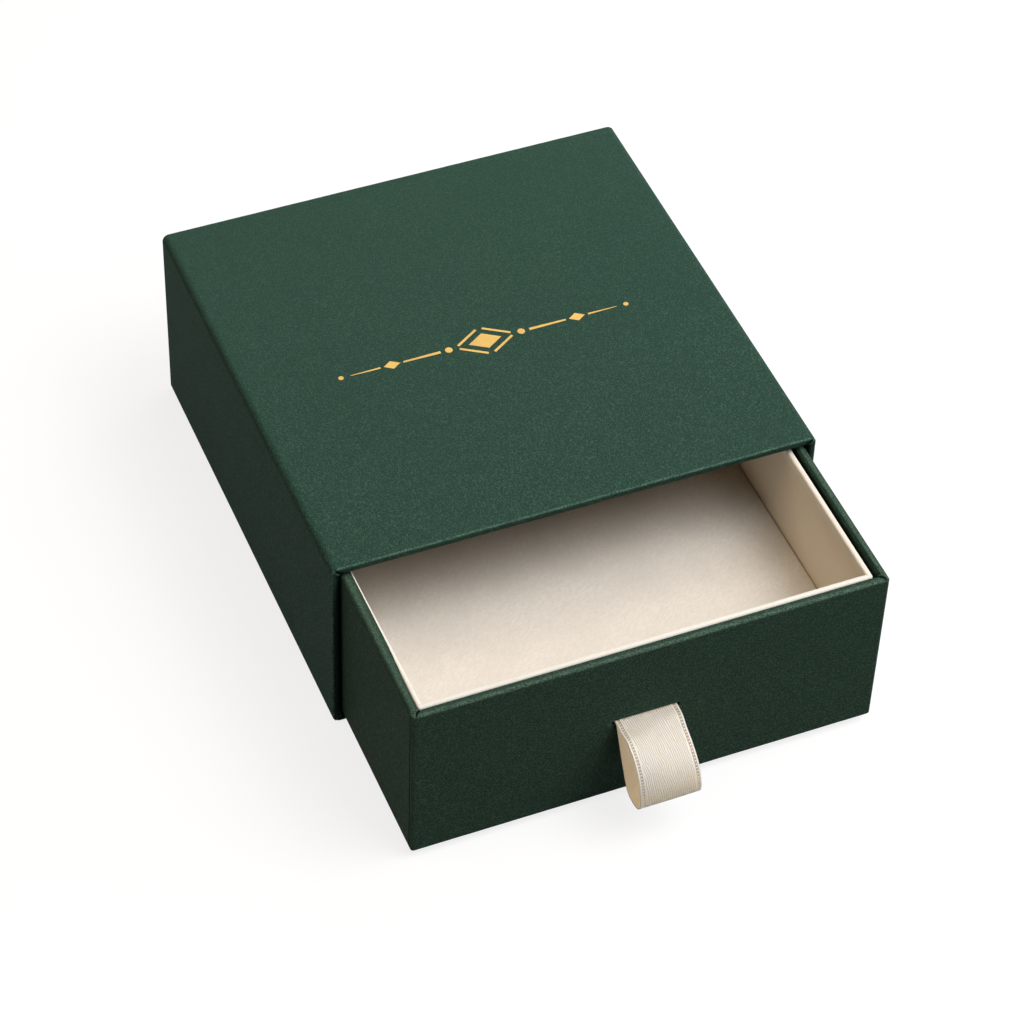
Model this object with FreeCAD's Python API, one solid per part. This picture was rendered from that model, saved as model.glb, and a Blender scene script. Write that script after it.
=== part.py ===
import FreeCAD, Part

# Sliding drawer gift box: a rigid board sleeve, closed at the back, and a board drawer with a
# paper-covered liner, a raised floor and a ribbon pull.  All sizes are millimetres.
# Frame: origin at the centre of the sleeve's underside, +X to the right, +Y to the back, +Z up.
# The drawer opens towards -Y and is modelled standing out of the sleeve by drawer_opening.
import math
import os

from FreeCAD import Vector

# ---------------------------------------------------------------- sleeve sizes
sleeve_width = 150.0
sleeve_depth = 150.0
sleeve_height = 65.0
sleeve_board = 2.0  # greyboard
sleeve_lining = 0.25  # paper inside the sleeve
fold_radius = 2.0  # board's outside at a folded long edge
sleeve_turn_in = 18.0  # covering paper turned into the mouth
back_flap = 15.0  # covering paper folded over the back board
back_sheet = 0.25  # sheet glued over the back flaps
back_sheet_inset = 2.0
lap_inset = 14.0  # lap of the covering paper, under the sleeve

# ----------------------------------- covering paper, the same on sleeve and drawer
cover_paper = 0.25
cut_edge_radius = 1.1  # paper's outside where it wraps a cut board edge
cut_edge_crush = 0.48  # board's own edge under it, crushed by the wrapping
turned_edge_radius = 0.85  # paper's outside where it turns inwards
turned_edge_crush = 0.33  # board's own edge under that
mitre_gap = 0.2  # slit between two turned-in flaps
mitre_heel = 1.3  # uncut paper on the diagonal of a mitred corner
seam_width = 0.2
seam_depth = 0.12

# ---------------------------------------------------------------- drawer sizes
drawer_opening = 55.0
drawer_board = 2.0
side_clearance = 0.5
under_clearance = 0.3
over_clearance = 1.3
rear_clearance = 0.35
drawer_turn_in = 13.0
corner_seam_inset = 1.7  # paper seam on a side face, from the front or back face
stay_tape = 0.12
stay_reach = 15.0  # tape on each side of a corner
stay_margin = 4.0  # bare board above and below a tape

# ----------------------------------------------------------------- liner sizes
liner_board = 1.5
liner_paper = 0.15
liner_gap = 0.85  # between the drawer's turned-in paper and the liner, if the liner is central
liner_push_left = 0.5  # the liner sits nearer to the drawer's left wall
liner_push_front = 0.35  # and nearer to its front wall
liner_drop = 0.7  # liner's edge below the drawer's edge
liner_edge_radius = 0.65  # paper's outside, along the top
liner_edge_crush = 0.3
liner_corner_radius = 1.0
liner_corner_crush = 0.5
liner_outer_flap = 12.0
compartment_depth = 31.0
floor_clearance = 0.3

# ---------------------------------------------------------------- riser strips
riser_board = 1.5
riser_spacing_x = 66.0
riser_spacing_y = 70.0
riser_end_margin = 3.0
riser_lap_clearance = 0.1

# ---------------------------------------------------------------- ribbon sizes
ribbon_width = 19.0
ribbon_thickness = 0.45
ribbon_layer_gap = 0.08
ribbon_shift = -1.5  # ribbon's middle from the box's middle
slot_lift = 1.6  # slot above the middle of the drawer's front
slot_height = 1.8
slot_end_radius = 0.6
slot_margin = 1.0  # slot beyond the ribbon at each side
ribbon_gap = 0.3  # between the loop's root and the tails
loop_root_reach = 0.8  # loop's root in front of the drawer
root_swell = 0.03  # root's round beyond the two layers that it joins
shoulder_radius = 22.0
shoulder_turn = 38.5  # degrees
brow_radius = 12.5  # between the shoulder and the foot
foot_front_radius = 4.3
foot_flat = 1.8
foot_back_radius = 4.2
foot_back_turn = 58.0  # degrees
tail_length = 11.0  # glued part of each tail
tail_bend_radius = 0.25  # inside of the bend behind the slot
patch_paper = 0.15
patch_margin = 2.5

# ------------------------------------------------------------ places worked out
side_x = sleeve_width / 2
mouth_y = -sleeve_depth / 2
back_y = sleeve_depth / 2
sleeve_wall = cover_paper + sleeve_board + sleeve_lining
back_wall = back_sheet + cover_paper + sleeve_board + sleeve_lining

drawer_side_x = side_x - sleeve_wall - side_clearance
drawer_front_y = mouth_y - drawer_opening
drawer_back_y = drawer_front_y + sleeve_depth - back_wall - rear_clearance
drawer_bottom_z = sleeve_wall + under_clearance
drawer_top_z = sleeve_height - sleeve_wall - over_clearance
drawer_wall = cover_paper + drawer_board
drawer_rim = drawer_wall + cover_paper
drawer_base_z = drawer_bottom_z + drawer_wall  # upper face of the base board

liner_inset = drawer_rim + liner_gap
liner_x = (
    -drawer_side_x + liner_inset - liner_push_left,
    drawer_side_x - liner_inset - liner_push_left,
)
liner_y = (
    drawer_front_y + liner_inset - liner_push_front,
    drawer_back_y - liner_inset - liner_push_front,
)
liner_wall = liner_paper + liner_board + liner_paper
liner_top_z = drawer_top_z - liner_drop
floor_z = liner_top_z - compartment_depth
riser_top_z = floor_z - liner_paper - liner_board

slot_z = (drawer_bottom_z + drawer_top_z) / 2 + slot_lift
layer_offset = (ribbon_thickness + ribbon_layer_gap) / 2
root_radius = layer_offset + ribbon_thickness / 2 + root_swell
ribbon_x = (ribbon_shift - ribbon_width / 2, ribbon_shift + ribbon_width / 2)

sleeve_x = (-side_x, side_x)
sleeve_z = (0.0, sleeve_height)
drawer_x = (-drawer_side_x, drawer_side_x)
drawer_y = (drawer_front_y, drawer_back_y)
drawer_z = (drawer_bottom_z, drawer_top_z)
overrun = 5.0  # how far a cutter runs past what it cuts
nearly = 1e-4


# ------------------------------------------------------------------ shape helpers
def block(x, y, z):
    """A box between three (low, high) spans."""
    return Part.makeBox(x[1] - x[0], y[1] - y[0], z[1] - z[0], Vector(x[0], y[0], z[0]))


def inset(span, by):
    """A span drawn in by the same amount at both ends."""
    return (span[0] + by, span[1] - by)


def edges_along_y(shape):
    """The straight edges parallel to Y."""
    return [e for e in shape.Edges if e.BoundBox.XLength < nearly and e.BoundBox.ZLength < nearly]


def edges_in_plane(shape, axis, place, within=None):
    """The edges in the plane axis = place, and inside the spans of within, given by axis."""
    found = []
    for edge in shape.Edges:
        box = edge.BoundBox
        low = (box.XMin, box.YMin, box.ZMin)
        high = (box.XMax, box.YMax, box.ZMax)
        flat = abs(low[axis] - place) < nearly and abs(high[axis] - place) < nearly
        spans = (within or {}).items()
        if flat and all(low[k] > s[0] - nearly and high[k] < s[1] + nearly for k, s in spans):
            found.append(edge)
    return found


def folded_block(x, y, z, fold):
    """A box with its four long edges (along Y) folded round."""
    shape = block(x, y, z)
    return shape.makeFillet(fold, edges_along_y(shape))


def mitre_slit(corner, inward, reach, axis, depth):
    """A thin slab on the diagonal that runs inwards from an outer corner, past its heel.

    corner is (x, z) with axis 1, where depth is the slab's span along Y, or (x, y) with axis 2,
    where depth is its span along Z; inward holds the signs of the two directions."""
    in_y = axis == 2
    along = Vector(inward[0], inward[1] if in_y else 0, 0 if in_y else inward[1]).normalize()
    normal = Vector(0, 0, 1) if in_y else Vector(0, 1, 0)
    slab = Part.makeBox(reach - mitre_heel, mitre_gap, depth[1] - depth[0])
    slab.translate(Vector(mitre_heel, -mitre_gap / 2, 0))
    start = Vector(corner[0], corner[1], depth[0]) if in_y else Vector(corner[0], depth[0], corner[1])
    slab.Placement = FreeCAD.Placement(
        start, FreeCAD.Rotation(along, normal.cross(along), normal, "XZY")
    ).multiply(slab.Placement)
    return slab


def corner_slits(x, across, wall, axis, depth):
    """Mitre slits at the four corners of a turned-in rim of the given thickness."""
    reach = wall * math.sqrt(2) + mitre_gap
    slits = []
    for i, sign_x in enumerate((1, -1)):
        for j, sign_across in enumerate((1, -1)):
            slits.append(mitre_slit((x[i], across[j]), (sign_x, sign_across), reach, axis, depth))
    return slits


# ------------------------------------------------------------------ ribbon helpers
def left_of(heading):
    """The unit normal to the left of a heading in degrees, in the (out, up) plane."""
    angle = math.radians(heading)
    return (-math.sin(angle), math.cos(angle))


def straight(pose, length):
    """A straight span of a path; a pose is (out, up, heading)."""
    out, up, heading = pose
    normal = left_of(heading)
    steps = (0, length / 2, length)
    return [(out + normal[1] * s, up - normal[0] * s, heading) for s in steps]


def bend(pose, radius, turn):
    """An arc that leaves a pose and turns by turn degrees, to the left where positive."""
    out, up, heading = pose
    side = math.copysign(radius, turn)
    centre = [c + side * n for c, n in zip((out, up), left_of(heading))]
    span = []
    for share in (0, 0.5, 1):
        normal = left_of(heading + share * turn)
        span.append((centre[0] - side * normal[0], centre[1] - side * normal[1], heading + share * turn))
    return span


def bend_to(pose, out, up):
    """The arc that leaves a pose and ends at a point."""
    chord = math.hypot(out - pose[0], up - pose[1])
    half_turn = math.degrees(math.atan2(up - pose[1], out - pose[0])) - pose[2]
    half_turn = (half_turn + 180) % 360 - 180
    radius = chord / 2 / abs(math.sin(math.radians(half_turn)))
    return bend(pose, radius, 2 * half_turn)


def in_space(pose, offset):
    """The point beside a pose, on the ribbon's left edge plane; out is towards -Y."""
    normal = left_of(pose[2])
    out = pose[0] + offset * normal[0]
    up = pose[1] + offset * normal[1]
    return Vector(ribbon_x[0], drawer_front_y - out, up)


def ribbon_along(spans):
    """A ribbon of even thickness whose middle follows a path of straight and curved spans."""
    edges = []
    for side, ordered in ((1, spans), (-1, [span[::-1] for span in spans[::-1]])):
        for span in ordered:
            points = [in_space(pose, side * ribbon_thickness / 2) for pose in span]
            is_line = span[0][2] == span[-1][2]
            curve = Part.LineSegment(points[0], points[2]) if is_line else Part.Arc(*points)
            edges.append(curve.toShape())
        last = ordered[-1][-1]
        ends = [in_space(last, side * ribbon_thickness / 2), in_space(last, -side * ribbon_thickness / 2)]
        edges.append(Part.LineSegment(*ends).toShape())
    return Part.Face(Part.Wire(edges)).extrude(Vector(ribbon_width, 0, 0))


# ------------------------------------------------------------------------- sleeve
def sleeve_board_tube():
    """The four folded boards as one tube, its cut edges crushed."""
    y = (mouth_y + cover_paper, back_y - back_sheet - cover_paper)
    outer_x = inset(sleeve_x, cover_paper)
    outer_z = inset(sleeve_z, cover_paper)
    inner_x = inset(outer_x, sleeve_board)
    inner_z = inset(outer_z, sleeve_board)
    tube = folded_block(outer_x, y, outer_z, fold_radius)
    for end in y:
        tube = tube.makeChamfer(cut_edge_crush, edges_in_plane(tube, 1, end))
    tube = tube.cut(block(inner_x, (y[0] - overrun, y[1] + overrun), inner_z))
    rim = edges_in_plane(tube, 1, y[0], {0: inner_x, 2: inner_z})
    return tube.makeChamfer(turned_edge_crush, rim)


def mitred_board(tube, side, width, height):
    """One board of the tube, between the 45 degree cuts at its two folded edges.

    side turns the upper board about Y to its place, in quarter turns; width and height are the
    tube's outside as seen from that side."""
    corner = Vector(-width / 2, mouth_y - overrun, height / 2)
    depth = 2 * sleeve_board
    points = [corner, corner + Vector(width, 0, 0)]
    points.append(points[1] + Vector(-depth, 0, -depth))
    points.append(corner + Vector(depth, 0, -depth))
    wedge = Part.Face(Part.makePolygon(points + points[:1]))
    wedge = wedge.extrude(Vector(0, sleeve_depth + 2 * overrun, 0))
    wedge.rotate(Vector(0, 0, 0), Vector(0, 1, 0), 90 * side)
    wedge.translate(Vector(0, 0, sleeve_height / 2))
    return tube.common(wedge)


def sleeve_back_board():
    edge = cover_paper + sleeve_board
    y = back_y - back_sheet - cover_paper
    return block(inset(sleeve_x, edge), (y - sleeve_board, y), inset(sleeve_z, edge))


def sleeve_cover(tube):
    """The covering paper: round the tube, turned into its mouth and folded over its back."""
    y = (mouth_y, back_y - back_sheet)
    turn_in_y = mouth_y + sleeve_turn_in
    paper = folded_block(sleeve_x, y, sleeve_z, fold_radius + cover_paper)
    for end in y:
        paper = paper.makeFillet(cut_edge_radius, edges_in_plane(paper, 1, end))
    paper = paper.cut(tube)
    wall = cover_paper + sleeve_board
    inner_x = inset(sleeve_x, wall)
    inner_z = inset(sleeve_z, wall)
    mouth_x = inset(inner_x, cover_paper)
    mouth_z = inset(inner_z, cover_paper)
    paper = paper.cut(block(inner_x, (turn_in_y, y[1] - cover_paper), inner_z))
    paper = paper.cut(block(mouth_x, (mouth_y - overrun, turn_in_y), mouth_z))
    paper = paper.cut(block(inset(sleeve_x, back_flap), (turn_in_y, back_y), inset(sleeve_z, back_flap)))
    rim = edges_in_plane(paper, 1, mouth_y, {0: mouth_x, 2: mouth_z})
    paper = paper.makeFillet(turned_edge_radius, rim)
    slit_depth = (mouth_y - overrun, turn_in_y)
    for slit in corner_slits(sleeve_x, sleeve_z, wall + cover_paper, 1, slit_depth):
        paper = paper.cut(slit)
    lap_x = -side_x + lap_inset
    lap = block(
        (lap_x - seam_width / 2, lap_x + seam_width / 2), inset(y, cut_edge_radius), (-overrun, seam_depth)
    )
    return paper.cut(lap)


def sleeve_back_sheet():
    """The sheet over the back flaps; its middle fills the window that they leave."""
    y = back_y - back_sheet
    sheet = block(inset(sleeve_x, back_sheet_inset), (y, back_y), inset(sleeve_z, back_sheet_inset))
    middle = block(inset(sleeve_x, back_flap), (y - cover_paper, y), inset(sleeve_z, back_flap))
    return sheet.fuse(middle).removeSplitter()


def sleeve_lining_paper():
    """The paper inside, from the edge of the turned-in cover to the back board."""
    wall = cover_paper + sleeve_board
    y = (mouth_y + sleeve_turn_in, back_y - back_sheet - wall)
    outer_x = inset(sleeve_x, wall)
    outer_z = inset(sleeve_z, wall)
    hollow_y = (y[0] - overrun, y[1] - sleeve_lining)
    hollow = block(inset(outer_x, sleeve_lining), hollow_y, inset(outer_z, sleeve_lining))
    return block(outer_x, y, outer_z).cut(hollow)


# ------------------------------------------------------------------------- drawer
def drawer_board_tray():
    """The base and the four walls as one tray, its edges crushed outside and inside."""
    tray = block(*(inset(span, cover_paper) for span in (drawer_x, drawer_y, drawer_z)))
    tray = tray.makeChamfer(cut_edge_crush, tray.Edges)
    inner_x = inset(drawer_x, drawer_wall)
    inner_y = inset(drawer_y, drawer_wall)
    tray = tray.cut(block(inner_x, inner_y, (drawer_base_z, drawer_top_z + overrun)))
    rim = edges_in_plane(tray, 2, drawer_top_z - cover_paper, {0: inner_x, 1: inner_y})
    return tray.makeChamfer(turned_edge_crush, rim)


def slot_cutter():
    """The ribbon's slot, long enough in Y to go through the drawer's front wall."""
    y = (drawer_front_y - overrun, drawer_front_y + drawer_rim)
    z = (slot_z - slot_height / 2, slot_z + slot_height / 2)
    slot = block(inset(ribbon_x, -slot_margin), y, z)
    return slot.makeFillet(min(slot_end_radius, slot_height / 2 - nearly), edges_along_y(slot))


def drawer_boards(tray):
    """The five boards that the tray is made of, by name; the side boards stand between
    the front and back boards, and all four stand on the base."""
    full_z = (drawer_base_z, drawer_top_z)
    front_y = (drawer_y[0], drawer_y[0] + drawer_wall)
    back_span = (drawer_y[1] - drawer_wall, drawer_y[1])
    side_y = (front_y[1], back_span[0])
    front = tray.common(block(drawer_x, front_y, full_z)).cut(slot_cutter())
    return {
        "drawer_base_board": tray.common(block(drawer_x, drawer_y, (drawer_z[0], drawer_base_z))),
        "drawer_front_board": front,
        "drawer_back_board": tray.common(block(drawer_x, back_span, full_z)),
        "drawer_left_board": tray.common(block((drawer_x[0], 0), side_y, full_z)),
        "drawer_right_board": tray.common(block((0, drawer_x[1]), side_y, full_z)),
    }


def drawer_cover(tray):
    """The covering paper: under the base, up the walls, over the rim and down inside it."""
    turn_in_z = drawer_top_z - drawer_turn_in
    paper = block(drawer_x, drawer_y, drawer_z)
    paper = paper.makeFillet(cut_edge_radius, paper.Edges)
    paper = paper.cut(tray)
    inner_x = inset(drawer_x, drawer_wall)
    inner_y = inset(drawer_y, drawer_wall)
    rim_x = inset(drawer_x, drawer_rim)
    rim_y = inset(drawer_y, drawer_rim)
    paper = paper.cut(block(inner_x, inner_y, (drawer_base_z, turn_in_z)))
    paper = paper.cut(block(rim_x, rim_y, (turn_in_z, drawer_top_z + overrun)))
    rim = edges_in_plane(paper, 2, drawer_top_z, {0: rim_x, 1: rim_y})
    paper = paper.makeFillet(turned_edge_radius, rim)
    for slit in corner_slits(drawer_x, drawer_y, drawer_rim, 2, (turn_in_z, drawer_top_z + overrun)):
        paper = paper.cut(slit)
    for seam in drawer_side_seams():
        paper = paper.cut(seam)
    return paper.cut(slot_cutter())


def drawer_side_seams():
    """Grooves where the front and back flaps of the paper end on the side faces."""
    seams = []
    for sign in (-1, 1):
        x = sorted((sign * (drawer_side_x - seam_depth), sign * (drawer_side_x + overrun)))
        for y in inset(drawer_y, corner_seam_inset):
            seam_y = (y - seam_width / 2, y + seam_width / 2)
            seams.append(block(x, seam_y, inset(drawer_z, cut_edge_radius)))
    return seams


def drawer_corner_stays():
    """Paper tapes that tie the walls together inside the four corners."""
    inner_x = inset(drawer_x, drawer_wall)
    inner_y = inset(drawer_y, drawer_wall)
    z = (drawer_base_z + stay_margin, drawer_top_z - drawer_turn_in - stay_margin)
    stays = []
    for x, to_x in ((inner_x[0], 1), (inner_x[1], -1)):
        for y, to_y in ((inner_y[0], 1), (inner_y[1], -1)):
            long_x = sorted((x, x + to_x * stay_reach))
            long_y = sorted((y, y + to_y * stay_reach))
            thin_x = sorted((x, x + to_x * stay_tape))
            thin_y = sorted((y, y + to_y * stay_tape))
            stays.append(block(long_x, thin_y, z).fuse(block(thin_x, long_y, z)).removeSplitter())
    return Part.makeCompound(stays)


# -------------------------------------------------------------------------- liner
def liner_block(by, z):
    """A plain block in the liner's outline drawn in by an amount."""
    return block(inset(liner_x, by), inset(liner_y, by), z)


def liner_rim(shape, by, z):
    """The edges of a shape at a height, round its inside where it is drawn in by an amount."""
    within = {0: inset(liner_x, by), 1: inset(liner_y, by)}
    return edges_in_plane(shape, 2, z, within)


def upright_edges(shape):
    return [e for e in shape.Edges if e.BoundBox.ZLength > nearly]


def liner_frame():
    """The four liner boards as one frame, crushed at the corners and along the top."""
    z = (drawer_base_z, liner_top_z - liner_paper)
    inner = liner_paper + liner_board
    frame = liner_block(liner_paper, z)
    frame = frame.makeChamfer(liner_corner_crush, upright_edges(frame))
    frame = frame.makeChamfer(liner_edge_crush, edges_in_plane(frame, 2, z[1]))
    frame = frame.cut(liner_block(inner, (z[0] - overrun, z[1] + overrun)))
    return frame.makeChamfer(liner_edge_crush, liner_rim(frame, inner, z[1]))


def liner_boards(frame):
    """The four boards of the liner frame, by name; the sides stand between front and back."""
    z = (drawer_base_z, drawer_top_z)
    inner_y = inset(liner_y, liner_paper + liner_board)
    return {
        "liner_front_board": frame.common(block(drawer_x, (drawer_y[0], inner_y[0]), z)),
        "liner_back_board": frame.common(block(drawer_x, (inner_y[1], drawer_y[1]), z)),
        "liner_left_board": frame.common(block((drawer_x[0], 0), inner_y, z)),
        "liner_right_board": frame.common(block((0, drawer_x[1]), inner_y, z)),
    }


def liner_cover(frame):
    """The cream paper: a flap outside, over the rounded top and down inside to the floor."""
    outer_z = (liner_top_z - liner_outer_flap, liner_top_z)
    paper = liner_block(0, outer_z)
    paper = paper.makeFillet(liner_corner_radius, upright_edges(paper))
    paper = paper.makeFillet(liner_edge_radius, edges_in_plane(paper, 2, liner_top_z))
    inner = liner_block(liner_paper + liner_board, (riser_top_z, outer_z[0]))
    paper = paper.fuse(inner).cut(frame)
    paper = paper.cut(liner_block(liner_wall, (riser_top_z - overrun, liner_top_z + overrun)))
    return paper.makeFillet(liner_edge_radius, liner_rim(paper, liner_wall, liner_top_z))


def floor_panel(z):
    """A panel that drops into the liner, between two heights."""
    return liner_block(liner_wall + floor_clearance, z)


def riser_strips():
    """Two long and two cross strips, half-lapped, that carry the floor; returned by name."""
    z = (drawer_base_z, riser_top_z)
    middle_z = (z[0] + z[1]) / 2
    inner_x = inset(liner_x, liner_wall + riser_end_margin)
    inner_y = inset(liner_y, liner_wall + riser_end_margin)
    centre_x = (liner_x[0] + liner_x[1]) / 2
    centre_y = (liner_y[0] + liner_y[1]) / 2
    half_board = riser_board / 2
    half_lap = half_board + riser_lap_clearance
    half_gap = riser_lap_clearance / 2
    places_x = (centre_x - riser_spacing_x / 2, centre_x + riser_spacing_x / 2)
    places_y = (centre_y - riser_spacing_y / 2, centre_y + riser_spacing_y / 2)
    long_strips = [block((x - half_board, x + half_board), inner_y, z) for x in places_x]
    cross_strips = [block(inner_x, (y - half_board, y + half_board), z) for y in places_y]
    upper = (middle_z - half_gap, z[1] + overrun)
    lower = (z[0] - overrun, middle_z + half_gap)
    for y in places_y:
        lap = block(inner_x, (y - half_lap, y + half_lap), upper)
        long_strips = [strip.cut(lap) for strip in long_strips]
    for x in places_x:
        lap = block((x - half_lap, x + half_lap), inner_y, lower)
        cross_strips = [strip.cut(lap) for strip in cross_strips]
    return {
        "riser_long_strips": Part.makeCompound(long_strips),
        "riser_cross_strips": Part.makeCompound(cross_strips),
    }


# ------------------------------------------------------------------------- ribbon
def ribbon_loop():
    """The loop that hangs out of the slot: out over a shoulder, round a flat foot and back."""
    upper = (loop_root_reach, slot_z + layer_offset, 0)
    spans = [bend(upper, shoulder_radius, -shoulder_turn)]
    spans.append(bend(spans[-1][-1], brow_radius, shoulder_turn - 90))
    spans.append(bend(spans[-1][-1], foot_front_radius, -90))
    spans.append(straight(spans[-1][-1], foot_flat))
    spans.append(bend(spans[-1][-1], foot_back_radius, -foot_back_turn))
    spans.append(bend_to(spans[-1][-1], loop_root_reach, slot_z - layer_offset))
    root_place = Vector(ribbon_x[0], drawer_front_y - loop_root_reach, slot_z)
    root = Part.makeCylinder(root_radius, ribbon_width, root_place, Vector(1, 0, 0))
    return ribbon_along(spans).fuse(root)


def ribbon_tails():
    """The two ends of the ribbon: through the slot, then up and down behind the front board."""
    front = loop_root_reach - root_radius - ribbon_gap
    middle_radius = tail_bend_radius + ribbon_thickness / 2
    through = front + drawer_wall - tail_bend_radius
    tails = []
    for sign in (1, -1):
        spans = [straight((front, slot_z + sign * layer_offset, 180), through)]
        spans.append(bend(spans[-1][-1], middle_radius, -sign * 90))
        spans.append(straight(spans[-1][-1], tail_length))
        tails.append(ribbon_along(spans))
    return Part.makeCompound(tails)


def ribbon_patch():
    """The paper glued over both tails."""
    y = drawer_front_y + drawer_wall + ribbon_thickness
    half_z = root_radius + tail_bend_radius + tail_length + patch_margin
    z = (slot_z - half_z, slot_z + half_z)
    return block(inset(ribbon_x, -patch_margin), (y, y + patch_paper), z)


# ------------------------------------------------------------------------- output
def all_pieces():
    """Every piece of the box, by name."""
    tube = sleeve_board_tube()
    tray = drawer_board_tray()
    frame = liner_frame()
    board_width = sleeve_width - 2 * cover_paper
    board_height = sleeve_height - 2 * cover_paper
    pieces = {
        "sleeve_top_board": mitred_board(tube, 0, board_width, board_height),
        "sleeve_right_board": mitred_board(tube, 1, board_height, board_width),
        "sleeve_bottom_board": mitred_board(tube, 2, board_width, board_height),
        "sleeve_left_board": mitred_board(tube, 3, board_height, board_width),
        "sleeve_back_board": sleeve_back_board(),
        "sleeve_cover_paper": sleeve_cover(tube),
        "sleeve_back_sheet": sleeve_back_sheet(),
        "sleeve_lining_paper": sleeve_lining_paper(),
        "drawer_cover_paper": drawer_cover(tray),
        "drawer_corner_stays": drawer_corner_stays(),
        "liner_cover_paper": liner_cover(frame),
        "liner_floor_board": floor_panel((riser_top_z, floor_z - liner_paper)),
        "liner_floor_sheet": floor_panel((floor_z - liner_paper, floor_z)),
        "ribbon_loop": ribbon_loop(),
        "ribbon_tails": ribbon_tails(),
        "ribbon_patch": ribbon_patch(),
    }
    pieces.update(drawer_boards(tray))
    pieces.update(liner_boards(frame))
    pieces.update(riser_strips())
    return pieces


os.makedirs("parts", exist_ok=True)
for name, shape in all_pieces().items():
    shape.exportStep(f"parts/{name}.step")
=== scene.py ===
import math

import bmesh
import bpy
import numpy as np
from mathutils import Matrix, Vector, noise


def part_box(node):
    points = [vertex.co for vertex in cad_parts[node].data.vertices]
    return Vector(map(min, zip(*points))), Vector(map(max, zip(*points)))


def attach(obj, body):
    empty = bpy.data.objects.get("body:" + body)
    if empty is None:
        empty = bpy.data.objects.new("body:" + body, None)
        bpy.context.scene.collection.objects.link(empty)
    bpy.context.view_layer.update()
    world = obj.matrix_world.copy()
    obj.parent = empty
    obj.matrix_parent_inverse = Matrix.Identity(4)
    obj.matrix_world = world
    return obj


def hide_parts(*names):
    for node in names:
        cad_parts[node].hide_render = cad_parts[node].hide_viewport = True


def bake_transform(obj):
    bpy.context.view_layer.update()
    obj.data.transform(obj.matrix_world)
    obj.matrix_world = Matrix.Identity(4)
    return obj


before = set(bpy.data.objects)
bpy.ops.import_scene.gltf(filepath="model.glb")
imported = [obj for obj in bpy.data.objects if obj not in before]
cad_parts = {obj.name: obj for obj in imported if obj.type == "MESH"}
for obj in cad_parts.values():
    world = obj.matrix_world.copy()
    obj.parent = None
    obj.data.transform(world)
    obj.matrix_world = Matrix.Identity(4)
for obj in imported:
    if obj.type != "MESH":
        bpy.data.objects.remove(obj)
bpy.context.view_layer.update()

bl_info = {
    "name": "Sliding Drawer Gift Box",
    "version": (1, 0, 0),
    "blender": (4, 5, 0),
    "location": "3D View > Sidebar > Gift Box",
    "description": "Dresses a board drawer box in grained paper, a cream liner, a ribbon pull and foil",
    "category": "Object",
}

MM = 0.001

# ------------------------------------------------- sizes that the boards already have
PAPER = 0.25 * MM
BOARD = 2.0 * MM
RIM = BOARD + 2 * PAPER  # a wall with the paper turned in
CUT_RADIUS = 1.1 * MM  # paper's outside over a cut board edge
TURNED_RADIUS = 0.85 * MM  # paper's outside where it turns inwards
MOUTH_RADIUS = 0.6 * MM  # the same at the sleeve's mouth, which is pressed sharper
FOLD_RADIUS = 2.25 * MM  # the sleeve's long folded edges
SLEEVE_TURN_IN = 18.0 * MM
BACK_FLAP = 15.0 * MM
LAP_INSET = 14.0 * MM
DRAWER_TURN_IN = 13.0 * MM
MITRE_HEEL = 1.3 * MM  # where the slit between two turned-in flaps begins
SIDE_SEAM_INSET = 1.7 * MM
SLOT_MARGIN = 1.0 * MM  # slot beyond the ribbon at each side
SLOT_HALF_HEIGHT = 0.9 * MM
SLOT_END_RADIUS = 0.6 * MM

LINER_PAPER = 0.15 * MM
LINER_BOARD = 1.5 * MM
LINER_EDGE_RADIUS = 0.65 * MM
LINER_CORNER_RADIUS = 1.0 * MM
LINER_FLAP = 12.0 * MM
LINER_WALL = LINER_BOARD + 2 * LINER_PAPER

RIBBON_THICKNESS = 0.45 * MM
RIBBON_LAYER_GAP = 0.08 * MM
ROOT_REACH = 0.8 * MM  # the loop's root in front of the drawer
SHOULDER_RADIUS = 22.0 * MM
SHOULDER_TURN = 38.5  # degrees
BROW_RADIUS = 12.5 * MM
FOOT_FRONT_RADIUS = 4.3 * MM
FOOT_FLAT = 1.8 * MM
FOOT_BACK_RADIUS = 4.2 * MM
FOOT_BACK_TURN = 58.0  # degrees
TAIL_LENGTH = 11.0 * MM
TAIL_BEND_RADIUS = 0.475 * MM  # middle of the ribbon

# ------------------------------------------------- sizes of the soft and pressed detail
DEEPEST_PRESS = 0.85 * PAPER  # no mark goes through the paper
WALL_WAVE = 0.02 * MM  # how uneven the glued paper lies on a wall
LAP_STEP = 0.1 * MM  # the covering sheet's lap, under the sleeve
SIDE_SEAM_DEPTH = 0.14 * MM
SLOT_PRESS = 0.12 * MM  # the paper drawn into the slot's edge
FOLD_RELIEF = 0.2 * MM  # a mitre's lip and the gap beside it
FOLD_SWING = 0.16 * MM  # the S of that lip, to each side
LEFT_RIM_LEAN = 1.05 * MM  # the drawer's side rims lean inwards, at the left over the liner
RIGHT_RIM_LEAN = 0.5 * MM
LEFT_WALL_THINNED = 0.3 * MM  # the liner's left wall at the front, and more at the sleeve
LEFT_WALL_THINNED_MORE = 0.5 * MM
EDGE_GROOVE = (0.55 * MM, 1.4 * MM)  # the ribbon's stitched groove, from its edge
RIBBED_HALF_WIDTH = 7.6 * MM
TWIST = 1.6 * MM  # how far the hanging loop's two edges leave its middle line
TWIST_PLACE = 8.5 * MM  # along the loop, where it is twisted most
STITCH_INSET = 0.95 * MM
THREAD_PITCH = 0.3 * MM
ORNAMENT_Y = -3.5 * MM

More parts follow.
